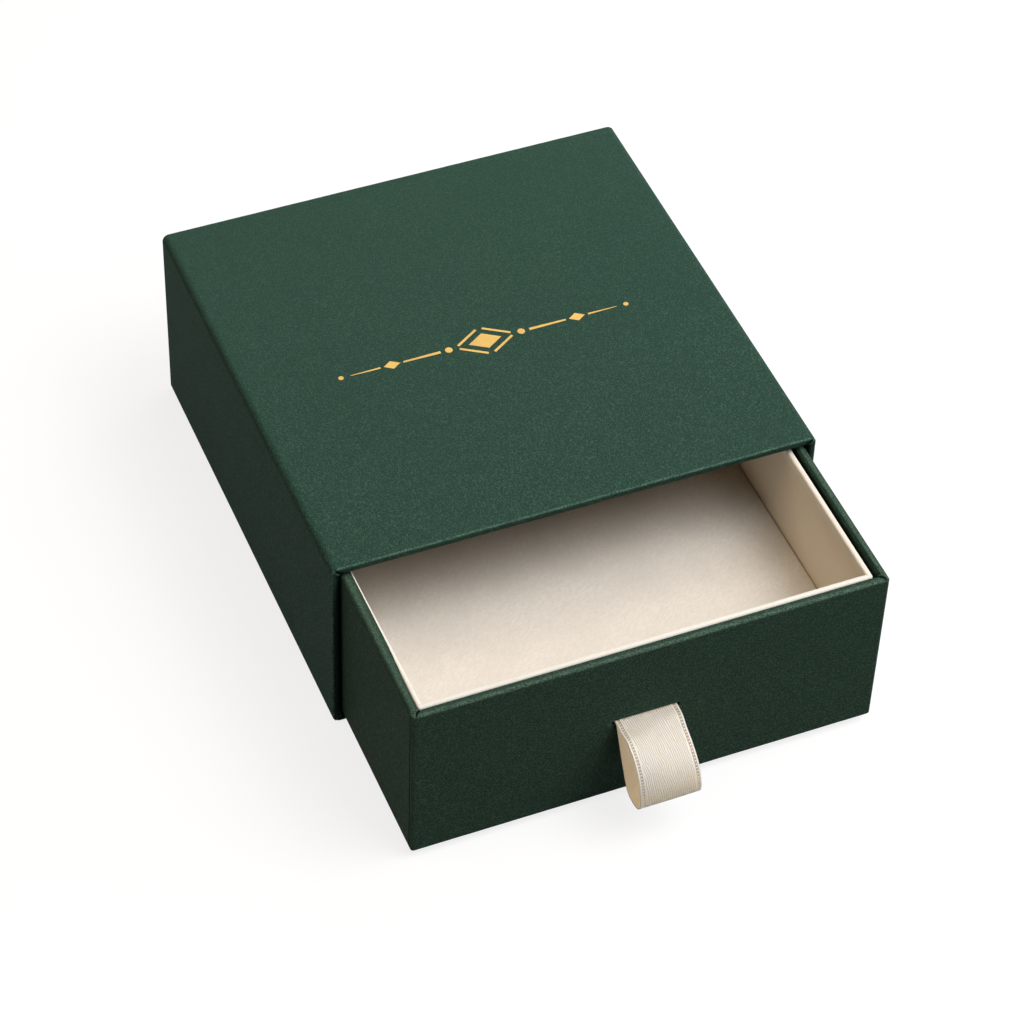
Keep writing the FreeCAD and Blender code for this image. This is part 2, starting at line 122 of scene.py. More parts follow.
SLEEVE_LOW, SLEEVE_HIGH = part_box("sleeve_cover_paper")
DRAWER_LOW, DRAWER_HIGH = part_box("drawer_cover_paper")
LINER_LOW, LINER_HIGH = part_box("liner_cover_paper")
FLOOR_LOW, FLOOR_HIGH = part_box("liner_floor_sheet")
LOOP_LOW, LOOP_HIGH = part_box("ribbon_loop")
PATCH_LOW, PATCH_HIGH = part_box("ribbon_patch")
SLOT_Z = (PATCH_LOW.z + PATCH_HIGH.z) / 2
RIBBON_X = (LOOP_LOW.x + LOOP_HIGH.x) / 2
RIBBON_HALF_WIDTH = (LOOP_HIGH.x - LOOP_LOW.x) / 2
SLOT_HALF_WIDTH = RIBBON_HALF_WIDTH + SLOT_MARGIN


# ------------------------------------------------------------------- material nodes
def new_material(name):
    """An empty material: its datablock, its tree and its Principled shader."""
    material = bpy.data.materials.new(name)
    material.use_nodes = True
    tree = material.node_tree
    return material, tree, tree.nodes["Principled BSDF"]


def add(tree, kind, links=None, values=None, **properties):
    """A new node with its properties, unlinked input values and linked inputs set."""
    made = tree.nodes.new(kind)
    for key, value in properties.items():
        setattr(made, key, value)
    for key, value in (values or {}).items():
        made.inputs[key].default_value = value
    for key, output in (links or {}).items():
        tree.links.new(output, made.inputs[key])
    return made


def body_point(tree, along=None, stretch=1.0):
    """A point of the piece in its own frame; a pattern on it is stretched along a direction."""
    place = add(tree, "ShaderNodeTexCoord").outputs["Object"]
    if along is None:
        return place
    turn = Vector(along).to_track_quat("Z", "Y").to_euler()
    values = {"Rotation": turn, "Scale": (1, 1, stretch)}
    return add(tree, "ShaderNodeMapping", {"Vector": place}, values, vector_type="TEXTURE").outputs[0]


def clouds(tree, vector, size, detail=2.0, distortion=0.0, roughness=0.5):
    """Soft noise from 0 to 1 with features of about size."""
    values = {"Scale": 1 / size, "Detail": detail, "Distortion": distortion, "Roughness": roughness}
    return add(tree, "ShaderNodeTexNoise", {"Vector": vector}, values).outputs["Fac"]


def remap(tree, value, low, high, to_low=0.0, to_high=1.0):
    """value moved from the span low..high to another span, and held within it."""
    values = {"From Min": low, "From Max": high, "To Min": to_low, "To Max": to_high}
    return add(tree, "ShaderNodeMapRange", {"Value": value}, values).outputs["Result"]


def calc(tree, operation, *terms):
    """A math node on numbers and outputs."""
    made = add(tree, "ShaderNodeMath", operation=operation)
    for socket, term in zip(made.inputs, terms):
        if isinstance(term, bpy.types.NodeSocket):
            tree.links.new(term, socket)
        else:
            socket.default_value = term
    return made.outputs[0]


def blend_colours(tree, share, first, second):
    """Two colours mixed by a share; each is a colour or an output."""
    made = add(tree, "ShaderNodeMix", data_type="RGBA")
    for index, term in ((0, share), (6, first), (7, second)):
        if isinstance(term, bpy.types.NodeSocket):
            tree.links.new(term, made.inputs[index])
        else:
            made.inputs[index].default_value = term if index == 0 else (*term, 1.0)
    return made.outputs[2]


def marked(tree, name):
    """A number that the piece's mesh carries."""
    return add(tree, "ShaderNodeAttribute", attribute_name=name).outputs["Fac"]


def relief(tree, shader, *layers):
    """Bump layers, each a height from 0 to 1 and its depth in metres, on a shader."""
    normal = None
    for height, depth in layers:
        links = {"Height": height}
        if normal:
            links["Normal"] = normal
        normal = add(tree, "ShaderNodeBump", links, {"Distance": depth}).outputs["Normal"]
    tree.links.new(normal, shader.inputs["Normal"])


def surface(tree, shader, colour, roughness, **values):
    """Sets a shader's inputs: each is an output or a value, and spaces are written as _."""
    for key, value in {"Base_Color": colour, "Roughness": roughness, **values}.items():
        socket = shader.inputs[key.replace("_", " ")]
        if isinstance(value, bpy.types.NodeSocket):
            tree.links.new(value, socket)
        else:
            socket.default_value = value


def tinted(colour, factor):
    """A colour made lighter or darker."""
    return tuple(min(1.0, part * factor) for part in colour)


# ------------------------------------------------------------------------ finishes
BOARD_COLOUR = (0.2, 0.17, 0.13)
TAPE_COLOUR = (0.16, 0.11, 0.06)
GROOVE_SHADE_COLOUR = (0.42, 0.3, 0.16)  # painted shade in the ribbon's stitched grooves


def grained_paper(name, colour, settings):
    """Pressed-grain covering paper: fine worm-like crests that cross on the slant.

    The grain is softer towards the back.  The mesh's edge mark is above 0 where the paper is worn
    and carries a painted highlight, and below 0 where shade is painted into folds and recesses."""
    grain_size, contrast = settings.grain_size, settings.grain_contrast
    material, tree, shader = new_material(name)
    point = body_point(tree)
    rising = clouds(tree, body_point(tree, (1, 1, 1), 1.6), grain_size, detail=0.0, distortion=0.4)
    falling = clouds(tree, body_point(tree, (1, -1, -1), 1.6), grain_size, detail=0.0, distortion=0.4)
    patches = remap(tree, clouds(tree, point, 1.8 * MM), 0.47, 0.57)
    drift = add(tree, "ShaderNodeMix", {0: patches, 2: rising, 3: falling}).outputs[0]
    from_crest = calc(tree, "ABSOLUTE", calc(tree, "SUBTRACT", drift, 0.5))
    crest = remap(tree, from_crest, 0.09, 0.02)
    fine = clouds(tree, point, grain_size * 0.8, detail=1.0, distortion=0.6)
    grain = calc(tree, "MULTIPLY", crest, remap(tree, fine, 0.35, 0.6, 0.75, 1.0))
    inward = add(tree, "ShaderNodeSeparateXYZ", {"Vector": point}).outputs["Y"]
    smoother = remap(tree, inward, -65 * MM, 70 * MM, 0.0, 0.6)
    grain = add(tree, "ShaderNodeMix", {0: smoother, 2: grain}, {3: 0.28}).outputs[0]
    cloudy = clouds(tree, point, 26 * MM, detail=3.0)
    edge = marked(tree, "edge")
    ragged = remap(tree, fine, 0.44, 0.54, 0.1, 1.0)
    # above 0 the edge mark brings wear and a painted highlight along the edges
    wear_and_highlight = calc(tree, "MULTIPLY", calc(tree, "MAXIMUM", edge, 0.0), ragged)
    crest_colour = tuple(part * (1 + 1.6 * contrast) + 0.05 * contrast for part in colour)
    body = blend_colours(tree, grain, tinted(colour, 1 - contrast), crest_colour)
    body = blend_colours(tree, remap(tree, cloudy, 0.3, 0.7, 0.0, 0.2), body, tinted(colour, 0.8))
    wear_and_highlight_colour = tuple(2.3 * part + 0.055 for part in colour)
    body = blend_colours(tree, wear_and_highlight, body, wear_and_highlight_colour)
    # below 0 the edge mark brings painted shade into folds and recesses
    body = blend_colours(tree, remap(tree, edge, 0.0, -1.0), body, tinted(colour, 0.12))
    surface(tree, shader, body, remap(tree, grain, 0.0, 1.0, 0.64, 0.5), Specular_IOR_Level=0.01)
    relief(tree, shader, (cloudy, 0.15 * MM), (grain, 0.13 * MM))
    return material


def plain_paper(name, colour, tooth_size, depth, mottle=0.06, painted_shade_colour=None, deep_shade_colour=None):
    """Smooth uncoated paper with a faint slanting tooth and a slight mottle.

    A darker, warmer colour is painted in as shade where the mesh's shade mark rises to 1, and a deeper
    painted shade towards 2."""
    material, tree, shader = new_material(name)
    tooth = clouds(tree, body_point(tree, (0.87, 0.5, 0.2), 5.0), tooth_size, distortion=0.3)
    mottled = clouds(tree, body_point(tree), 14 * MM, detail=4.0)
    fine = clouds(tree, body_point(tree), 0.25 * MM, detail=2.0)
    body = blend_colours(
        tree, remap(tree, tooth, 0.35, 0.65), tinted(colour, 1 - mottle / 2), tinted(colour, 1 + mottle / 2)
    )
    body = blend_colours(tree, remap(tree, mottled, 0.35, 0.7, 0, 0.5), body, tinted(colour, 1 - mottle))
    if painted_shade_colour:
        shade_tint = add(tree, "ShaderNodeMix", data_type="RGBA", blend_type="MULTIPLY")
        tree.links.new(marked(tree, "painted_shade"), shade_tint.inputs[0])
        tree.links.new(body, shade_tint.inputs[6])
        shift = [painted_shade / plain for painted_shade, plain in zip(painted_shade_colour, colour)]
        shade_tint.inputs[7].default_value = (*shift, 1.0)
        body = shade_tint.outputs[2]
    if deep_shade_colour:
        body = blend_colours(tree, remap(tree, marked(tree, "painted_shade"), 1.0, 2.0), body, deep_shade_colour)
    surface(tree, shader, body, remap(tree, fine, 0.3, 0.7, 0.72, 0.84), Specular_IOR_Level=0.1)
    relief(tree, shader, (tooth, depth), (fine, depth / 3))
    return material


def grey_board(name, colour, slot_shade=False):
    """Recycled board: grey-brown pulp with short pale and dark fibres, and where asked, painted shade
    that makes it black at the slot's height."""
    material, tree, shader = new_material(name)
    pulp = clouds(tree, body_point(tree), 1.6 * MM, detail=6.0)
    fibres = clouds(tree, body_point(tree, (0.5, 1, 0.3), 6.0), 0.3 * MM, distortion=1.0)
    body = blend_colours(tree, remap(tree, pulp, 0.3, 0.7), tinted(colour, 0.85), tinted(colour, 1.12))
    body = blend_colours(tree, remap(tree, fibres, 0.62, 0.72, 0, 0.6), body, tinted(colour, 1.6))
    body = blend_colours(tree, remap(tree, fibres, 0.36, 0.28, 0, 0.5), body, tinted(colour, 0.4))
    if slot_shade:
        # painted shade: black at the slot's height, where the slot's ends show the board
        height = add(tree, "ShaderNodeSeparateXYZ", {"Vector": body_point(tree)}).outputs["Z"]
        from_slot = calc(tree, "ABSOLUTE", calc(tree, "SUBTRACT", height, SLOT_Z))
        body = blend_colours(tree, remap(tree, from_slot, 3 * MM, 2 * MM), body, tinted(colour, 0.06))
    surface(tree, shader, body, remap(tree, pulp, 0.3, 0.7, 0.85, 0.95))
    relief(tree, shader, (pulp, 0.12 * MM), (fibres, 0.05 * MM))
    return material


def woven_ribbon(name, colour, inside_shade_colour, rib_pitch):
    """Ribbed ribbon: wavy cords on the slant, crossed by fine threads, with corded edges.

    The map holds metres: U across the ribbon from its middle, V along it."""
    material, tree, shader = new_material(name)
    place = add(tree, "ShaderNodeUVMap", uv_map="ribbon").outputs["UV"]
    split = add(tree, "ShaderNodeSeparateXYZ", {"Vector": place})
    across, along = split.outputs["X"], split.outputs["Y"]
    wide = calc(tree, "SUBTRACT", clouds(tree, place, 7 * MM, detail=1.0), 0.5)
    slow = add(tree, "ShaderNodeMapping", {"Vector": place}, {"Scale": (1, 0.45, 1)}).outputs[0]
    waver = calc(tree, "SUBTRACT", clouds(tree, slow, 1.5 * MM, detail=1.5), 0.5)
    slanted = calc(tree, "MULTIPLY_ADD", along, -0.13, across)
    bent = calc(tree, "MULTIPLY_ADD", wide, 2 * rib_pitch, slanted)
    bent = calc(tree, "MULTIPLY_ADD", waver, 1.0 * rib_pitch, bent)
    cords = calc(tree, "SINE", calc(tree, "MULTIPLY", bent, 2 * math.pi / rib_pitch))
    cords = remap(tree, cords, -0.9, 0.3)
    threads = calc(tree, "SINE", calc(tree, "MULTIPLY", along, 2 * math.pi / THREAD_PITCH))
    threads = remap(tree, threads, -1, 1)
    from_middle = calc(tree, "ABSOLUTE", across)
    middle = remap(tree, from_middle, RIBBED_HALF_WIDTH + 0.1 * MM, RIBBED_HALF_WIDTH - 0.1 * MM)
    ribs = calc(tree, "MULTIPLY", cords, middle)
    from_edge = calc(tree, "SUBTRACT", RIBBON_HALF_WIDTH, from_middle)
    outer_end, inner_end = EDGE_GROOVE
    begun = remap(tree, from_edge, outer_end - 0.05 * MM, outer_end + 0.05 * MM)
    ending = remap(tree, from_edge, inner_end + 0.05 * MM, inner_end - 0.05 * MM)
    groove = calc(tree, "MULTIPLY", begun, ending)
    band = calc(tree, "SUBTRACT", 1.0, calc(tree, "MAXIMUM", middle, groove))
    soft = clouds(tree, place, 3 * MM, detail=3.0)
    shade = calc(tree, "MULTIPLY_ADD", threads, 0.1, calc(tree, "MAXIMUM", ribs, band))
    # painted shade between the cords and in the stitched grooves
    valley_shade = tuple(part * keep for part, keep in zip(colour, (0.7, 0.58, 0.43)))
    body = blend_colours(tree, remap(tree, shade, 0.0, 0.9), valley_shade, colour)
    body = blend_colours(tree, calc(tree, "MULTIPLY", groove, 0.8), body, GROOVE_SHADE_COLOUR)
    body = blend_colours(tree, remap(tree, soft, 0.3, 0.7, 0.0, 0.25), body, tinted(colour, 0.9))
    # painted shade on the ribbon's back and the loop's bottom, whose inside also glows as painted light
    body = blend_colours(tree, marked(tree, "inside"), body, inside_shade_colour)
    glow = calc(tree, "MULTIPLY", remap(tree, marked(tree, "inside"), 0.9, 1.0), 0.13)
    surface(
        tree, shader, body, remap(tree, shade, 0, 0.8, 0.5, 0.34), Specular_IOR_Level=0.6,
        Sheen_Weight=0.3, Sheen_Roughness=0.4,
        Emission_Color=(*inside_shade_colour, 1.0), Emission_Strength=glow,  # painted light: the inside of the loop glows
        Subsurface_Weight=0.7, Subsurface_Radius=(1.0, 0.85, 0.6), Subsurface_Scale=1.0 * MM,
    )
    relief(tree, shader, (ribs, 0.1 * MM), (threads, 0.02 * MM), (soft, 0.08 * MM))
    return material


def stitch_thread(name, colour):
    """Twisted sewing thread with a soft shine."""
    material, tree, shader = new_material(name)
    twist = clouds(tree, body_point(tree, (1, 0.4, 0), 2.5), 0.2 * MM, detail=1.0)
    body = blend_colours(tree, remap(tree, twist, 0.35, 0.65), tinted(colour, 0.88), colour)
    surface(tree, shader, body, remap(tree, twist, 0.3, 0.7, 0.55, 0.4), Sheen_Weight=0.2)
    relief(tree, shader, (twist, 0.05 * MM))
    return material


def stamped_foil(name, colour):
    """Hot-stamped metal foil that shows the paper's grain through it."""
    material, tree, shader = new_material(name)
    dents = clouds(tree, body_point(tree), 0.5 * MM, detail=2.0, distortion=1.2)
    broad = clouds(tree, body_point(tree), 7 * MM, detail=2.0)
    body = blend_colours(tree, remap(tree, broad, 0.3, 0.7), tinted(colour, 0.86), tinted(colour, 1.08))
    body = blend_colours(tree, remap(tree, dents, 0.66, 0.74, 0, 0.5), body, tinted(colour, 0.6))
    surface(tree, shader, body, remap(tree, dents, 0.3, 0.7, 0.36, 0.5), Metallic=0.75)
    relief(tree, shader, (dents, 0.03 * MM))
    return material


# --------------------------------------------------------------------- mesh helpers
SHARP_ANGLE = math.radians(40)


def new_piece(name, points, faces, marks=None):
    """A closed mesh piece at the origin, its doubles merged and its faces outwards."""
    mesh = bpy.data.meshes.new(name)
    mesh.from_pydata([tuple(p) for p in points], [], faces)
    for mark, values in (marks or {}).items():
        mesh.attributes.new(mark, "FLOAT", "POINT").data.foreach_set("value", np.ravel(values))
    shell = bmesh.new()
    shell.from_mesh(mesh)
    bmesh.ops.remove_doubles(shell, verts=shell.verts, dist=0.004 * MM)
    bmesh.ops.dissolve_degenerate(shell, edges=shell.edges, dist=0.002 * MM)
    bmesh.ops.recalc_face_normals(shell, faces=shell.faces)
    shell.to_mesh(mesh)
    shell.free()
    mesh.shade_smooth()
    mesh.set_sharp_from_angle(angle=SHARP_ANGLE)
    return placed(name, mesh)


def placed(name, data):
    """A new object at the origin."""
    made = bpy.data.objects.new(name, data)
    bpy.context.scene.collection.objects.link(made)
    return made


def finish_piece(piece, material, body, slot, *nodes):
    """Gives a piece its material, its body and the solids that it stands for; its slot is not used."""
    piece.data.materials.clear()
    piece.data.materials.append(material)
    if body:
        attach(piece, body)
    if nodes:
        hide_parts(*nodes)
    return piece


def baked(piece):
    """Replaces a piece's mesh by what its modifiers make of it, and removes them."""
    graph = bpy.context.evaluated_depsgraph_get()
    mesh = bpy.data.meshes.new_from_object(piece.evaluated_get(graph))
    piece.modifiers.clear()
    piece.data = mesh
    return piece


def cut_from(piece, cutter):
    """Cuts one solid mesh out of another, and removes the cutter."""
    cutting = piece.modifiers.new("cut", "BOOLEAN")
    cutting.operation = "DIFFERENCE"
    cutting.solver = "EXACT"
    cutting.object = cutter
    baked(piece)
    bpy.data.objects.remove(cutter)
    piece.data.set_sharp_from_angle(angle=SHARP_ANGLE)
    return piece


def tube_faces(levels, around, closed=False):
    """The faces of a stack of rings, joined end to end where closed and otherwise filled."""
    faces = []
    for j in range(levels if closed else levels - 1):
        low, high = j * around, (j + 1) % levels * around
        for i in range(around):
            k = (i + 1) % around
            faces.append((low + i, low + k, high + k, high + i))
    if not closed:
        faces.append(list(range(around))[::-1])
        faces.append([(levels - 1) * around + i for i in range(around)])
    return faces


def prism(name, outlines, low, high, upright=True):
    """Flat outlines given a thickness: along Z where upright, and otherwise along Y."""
    points, faces = [], []
    for outline in outlines:
        count, start = len(outline), len(points)
        for level in (low, high):
            points += [(u, v, level) if upright else (u, level, v) for u, v in outline]
        faces.append([start + i for i in range(count)][::-1])
        faces.append([start + count + i for i in range(count)])
        for i in range(count):
            j = (i + 1) % count
            faces.append([start + i, start + j, start + count + j, start + count + i])
    return new_piece(name, points, faces)


def ease(value, low, high):
    """0 below low, 1 above high and smooth between."""
    share = np.clip((value - low) / (high - low), 0, 1)
    return share * share * (3 - 2 * share)


def bump_at(value, place, width):
    """A smooth ridge of height 1 at a place."""
    return np.exp(-(((value - place) / width) ** 2))


def ripple(points, size, seed):
    """Even noise between -1 and 1 at each point of a grid, with features of about size."""
    shift = Vector((seed, 1.7 * seed, 2.3 * seed))
    flat = points.reshape(-1, 3) / size
    return np.array([noise.noise(Vector(p) + shift) for p in flat]).reshape(points.shape[:-1])


# -------------------------------------------------------- wrapped walls of a box
# A wall's section is drawn in (inset from the outside, height towards the open edge), and swept
# round a rounded rectangle whose corners turn sharp where the inset passes their radius.
NEAR_CORNER = np.array([0.07, 0.14, 0.22, 0.32, 0.46, 0.62, 0.7, 0.78, 1.0, 1.5, 2.4, 3.6]) * MM
ARC_STEPS = 8
# The columns of a section's rows; rounded_line says what they are.
INSET, HEIGHT, OUT_INSET, OUT_HEIGHT, PLACE, BEND = (slice(i, i + 1) for i in range(6))


def stations(half, step):
    """Rows of (sign u, sign v, shift u, shift v, angle) round a rectangle of two half sizes."""
    rows = []
    for corner in range(4):
        start = corner * math.pi / 2
        sign_u, sign_v = (1, -1, -1, 1)[corner], (1, 1, -1, -1)[corner]
        for angle in np.linspace(start, start + math.pi / 2, ARC_STEPS + 1):
            rows.append((sign_u, sign_v, 0, 0, angle))
        count = round(2 * half[corner % 2] / step)
        side = [(1, near) for near in NEAR_CORNER]
        side += [(1 - 2 * i / count, NEAR_CORNER[-1]) for i in range(1, count)]
        side += [(-1, near) for near in NEAR_CORNER[::-1]]
        for share, shift in side:
            if corner % 2:
                rows.append((sign_u, sign_v * share, 0, shift, start + math.pi / 2))
            else:
                rows.append((sign_u * share, sign_v, shift, 0, start + math.pi / 2))
    return np.array(rows)


def swept(half, radius, inset, rows):
    """The points (u, v) of stations at an inset, which may differ from station to station."""
    sign_u, sign_v, shift_u, shift_v, angle = rows.T
    reach = np.maximum(radius, inset)
    bend = np.maximum(radius - inset, 0)
    u = sign_u * (half[0] - reach - shift_u) + bend * np.cos(angle)
    v = sign_v * (half[1] - reach - shift_v) + bend * np.sin(angle)
    return u, v


def rounded_line(corners, radii, counts, arc_steps):
    """A rounded polyline: rows of (inset, height, outward inset, outward height, place, bend).

    place is the section's corner number, whole on a corner's arc and half between two corners;
    bend is 1 in the middle of an arc and 0 off it."""
    corners = np.array(corners, float)
    heads = [d / np.linalg.norm(d) for d in np.diff(corners, axis=0)]
    radii = [0, *radii, 0]
    rows = []
    for i, head in enumerate(heads):
        begin = corners[i] + head * radii[i]
        end = corners[i + 1] - head * radii[i + 1]
        for t in np.linspace(0, 1, counts[i] + 1):
            rows.append((*(begin + t * (end - begin)), -head[1], head[0], i + 0.5, 0))
        if i + 1 < len(heads):
            after, radius = heads[i + 1], radii[i + 1]
            centre = end + radius * after
            for t in np.linspace(0, math.pi / 2, arc_steps + 1)[1:-1]:
                outward = head * math.sin(t) - after * math.cos(t)
                rows.append((*(centre + radius * outward), *outward, i + 1, math.sin(2 * t)))
    return np.array(rows)


def near_place(outer, place, within):
    """Where a section's rows lie near one of its places."""
    return np.abs(outer[:, PLACE] - place) < within


def under_side(corners, thickness):
    """A section's line on the board's side of the paper."""
    corners = np.array(corners, float)
    heads = [d / np.linalg.norm(d) for d in np.diff(corners, axis=0)]
    outward = [np.array((-head[1], head[0])) for head in heads]
    moved = []
    for i, corner in enumerate(corners):
        near = {tuple(outward[max(i - 1, 0)]), tuple(outward[min(i, len(heads) - 1)])}
        moved.append(corner - thickness * sum(np.array(side) for side in near))
    return np.array(moved)


def wrapped_paper(
    name, section, radii, counts, thickness, half, radius, step, place, shape, closed, mark="edge"
):
    """A skin of paper on a box's walls.

    place turns (u, v, height) into a point; shape gives each outer point's rise in metres and its
    mark; closed joins the section's ends, and otherwise both are filled as a bottom."""
    rows = stations(half, step)
    outer = rounded_line(section, radii, counts, ARC_STEPS)
    inner_radii = [max(r - thickness, 0.3 * thickness) for r in radii]
    inner = rounded_line(under_side(section, thickness), inner_radii, [2] * len(counts), 3)[::-1]
    u, v = swept(half, radius, outer[:, :1], rows)
    rise, edge = shape(u, v, outer, rows)
    u, v = swept(half, radius, outer[:, :1] + rise * outer[:, 2:3], rows)
    height = outer[:, 1:2] + rise * outer[:, 3:4]
    outer_points = np.stack(place(u, v, height), axis=-1)
    u, v = swept(half, radius, inner[:, :1] + 0 * rows[:, 0], rows)
    inner_points = np.stack(place(u, v, inner[:, 1:2] + 0 * u), axis=-1)
    points = np.concatenate([outer_points, inner_points])
    marks = np.concatenate([edge, np.zeros(inner_points.shape[:2])])
    faces = tube_faces(*points.shape[:2], closed)
    return new_piece(name, points.reshape(-1, 3), faces, {mark: marks})


def corner_fold(half, u, v, outer, heel=MITRE_HEEL):
    """The mitre of a turned-in rim: one flap's edge lies in an S over the other's.

    Returns the rise and the edge mark: wear and a painted highlight on the lip, painted shade in the gap."""
    from_u, from_v = half[0] - np.abs(u), half[1] - np.abs(v)
    across = (from_u - from_v) / math.sqrt(2)
    along = (from_u + from_v) / math.sqrt(2)
    across = across - FOLD_SWING * np.sin(along / (0.5 * MM))
    turned = ease(outer[:, 4:5], 1.8, 2.1) * ease(along, heel * 0.5, heel)
    lip = bump_at(across, -0.05 * MM, 0.2 * MM)
    gap = bump_at(across, 0.5 * MM, 0.3 * MM)
    return turned * FOLD_RELIEF * (lip - gap), turned * (1.1 * lip - 2.4 * gap)


def edge_wear_and_painted_light(outer, points):
    """The uneven bead along a wrapped edge: its rise and its mark of wear and painted light."""
    lower, upper, inner = (outer[:, BEND] * near_place(outer, corner, 0.2) for corner in (1, 2, 3))
    uneven = ripple(points, 3.2 * MM, 4)
    rise = (upper + lower) * 0.03 * MM * uneven
    # the outer arcs get wear and a painted highlight, the inner arc painted shade
    return rise, upper * (0.8 + 0.3 * uneven) + 0.35 * lower - 0.2 * inner


# ----------------------------------------------------------------- ribbon helpers
def ribbon_path():
    """Points along the middle of the ribbon, 0.1 mm apart: rows of (out of the drawer, up)."""
    layer = (RIBBON_THICKNESS + RIBBON_LAYER_GAP) / 2
    behind = -(BOARD + PAPER + RIBBON_THICKNESS / 2)
    place = np.array((behind, SLOT_Z + layer + TAIL_BEND_RADIUS + TAIL_LENGTH))
    heading = -math.pi / 2
    points = [place]

    def run(length, turn=0.0):
        nonlocal place, heading
        count = max(2, round(length / (0.1 * MM)))
        for _ in range(count):
            heading += turn / count / 2
            place = place + length / count * np.array((math.cos(heading), math.sin(heading)))
            heading += turn / count / 2
            points.append(place)

    quarter = math.pi / 2
    shoulder = math.radians(SHOULDER_TURN)
    run(TAIL_LENGTH)
    run(TAIL_BEND_RADIUS * quarter, quarter)
    run(ROOT_REACH - behind - TAIL_BEND_RADIUS)
    run(SHOULDER_RADIUS * shoulder, -shoulder)
    run(BROW_RADIUS * (quarter - shoulder), shoulder - quarter)
    run(FOOT_FRONT_RADIUS * quarter, -quarter)
    run(FOOT_FLAT)
    run(FOOT_BACK_RADIUS * math.radians(FOOT_BACK_TURN), -math.radians(FOOT_BACK_TURN))
    target = np.array((ROOT_REACH, SLOT_Z - layer)) - place
    half_turn = math.atan2(target[1], target[0]) - heading
    half_turn = (half_turn + math.pi) % (2 * math.pi) - math.pi
    chord = math.hypot(*target)
    run(chord * half_turn / math.sin(half_turn), 2 * half_turn)
    heading = math.pi
    run(ROOT_REACH - behind - TAIL_BEND_RADIUS)
    run(TAIL_BEND_RADIUS * quarter, quarter)
    run(TAIL_LENGTH)
    return np.array(points)


def slot_outline():
    """The slot in the drawer's front: a flat rectangle with round corners."""
    half_width, half_height = SLOT_HALF_WIDTH - SLOT_END_RADIUS, SLOT_HALF_HEIGHT - SLOT_END_RADIUS
    outline = []
    for step in range(4 * ARC_STEPS):
        angle = (step + 0.5) * math.pi / (2 * ARC_STEPS)
        across, up = math.cos(angle), math.sin(angle)
        x = RIBBON_X + math.copysign(half_width, across) + SLOT_END_RADIUS * across
        outline.append((x, SLOT_Z + math.copysign(half_height, up) + SLOT_END_RADIUS * up))
    return outline


def softened(line, spread):
    """A line of close points with its kinks rounded by a running mean."""
    kernel = np.hanning(2 * spread + 3)[1:-1]
    padded = np.concatenate([line[:1].repeat(spread, 0), line, line[-1:].repeat(spread, 0)])
    parts = [np.convolve(padded[:, k], kernel / kernel.sum(), "valid") for k in range(2)]
    return np.stack(parts, axis=1)


def twisted(run, across):
    """How far the hanging loop's face stands off its middle line: its left side bulges and its
    right side hangs nearer to the drawer."""
    out = run - TAIL_LENGTH - ROOT_REACH - RIM - 2 * MM
    share = across / RIBBON_HALF_WIDTH
    swell = bump_at(out, TWIST_PLACE, (10 + 2 * share) * MM) * ease(out, 0, 5 * MM)
    return swell * (0.1 * MM - TWIST * share)


def path_frame(line):
    """Unit normals to the left of a line, and the length run at each point."""
    heads = np.gradient(line, axis=0)
    lengths = np.linalg.norm(heads, axis=1, keepdims=True)
    normals = np.stack([-heads[:, 1], heads[:, 0]], axis=1) / lengths
    run = np.concatenate([[0], np.cumsum(np.linalg.norm(np.diff(line, axis=0), axis=1))])
    return normals, run


# ------------------------------------------------------------------ liner helpers
def thinning(y):
    """How much thinner the liner's left wall is than the others, more so towards the sleeve."""
    return LEFT_WALL_THINNED + LEFT_WALL_THINNED_MORE * ease(y, LINER_LOW.y, SLEEVE_LOW.y + 3 * MM)


def floor_sheet():
    """The sheet on the raised floor: its edges rolled down, its middle faintly uneven."""
    count = 90
    spacing = (1 - np.cos(np.linspace(0, math.pi, count + 1))) / 2  # closer near the edges
    size = FLOOR_HIGH - FLOOR_LOW
    x, y = np.meshgrid(FLOOR_LOW.x + size.x * spacing, FLOOR_LOW.y + size.y * spacing)
    from_edge = np.minimum(
        np.minimum(x - FLOOR_LOW.x, FLOOR_HIGH.x - x), np.minimum(y - FLOOR_LOW.y, FLOOR_HIGH.y - y)
    )
    x = x - thinning(y) * (1 - ease(x, FLOOR_LOW.x, FLOOR_LOW.x + 12 * MM))
    flat = np.stack([x, y, 0 * x], axis=-1)
    drop = 0.1 * MM * (1 - ease(from_edge, 0, 0.5 * MM)) + 0.01 * MM * (1 + ripple(flat, 22 * MM, 5))
    number = np.arange(x.size).reshape(x.shape)
    faces = np.stack([number[:-1, :-1], number[:-1, 1:], number[1:, 1:], number[1:, :-1]], axis=-1)
    faces = faces.reshape(-1, 4).tolist()
    rim = [*number[0], *number[1:, -1], *number[-1, -2::-1], *number[-2:0:-1, 0]]
    upper = np.stack([x, y, FLOOR_HIGH.z - drop], axis=-1).reshape(-1, 3)
    lower = upper[rim]
    lower[:, 2] = FLOOR_LOW.z
    under = [x.size + k for k in range(len(rim))]
    for k in range(len(rim)):
        faces.append((rim[k - 1], rim[k], under[k], under[k - 1]))
    faces.append(under)
    points = np.concatenate([upper, lower])
    inward = (points[:, 1] - FLOOR_LOW.y) / size.y
    # painted shade: the floor turns towards the deep shade colour towards the back
    return new_piece("floor_sheet", points, faces, {"painted_shade": 0.3 * ease(inward, 0, 1)})


# --------------------------------------------------------------------- settings
COLOUR = {"subtype": "COLOR", "size": 3, "min": 0, "max": 1}
LENGTH = {"unit": "LENGTH", "precision": 5}


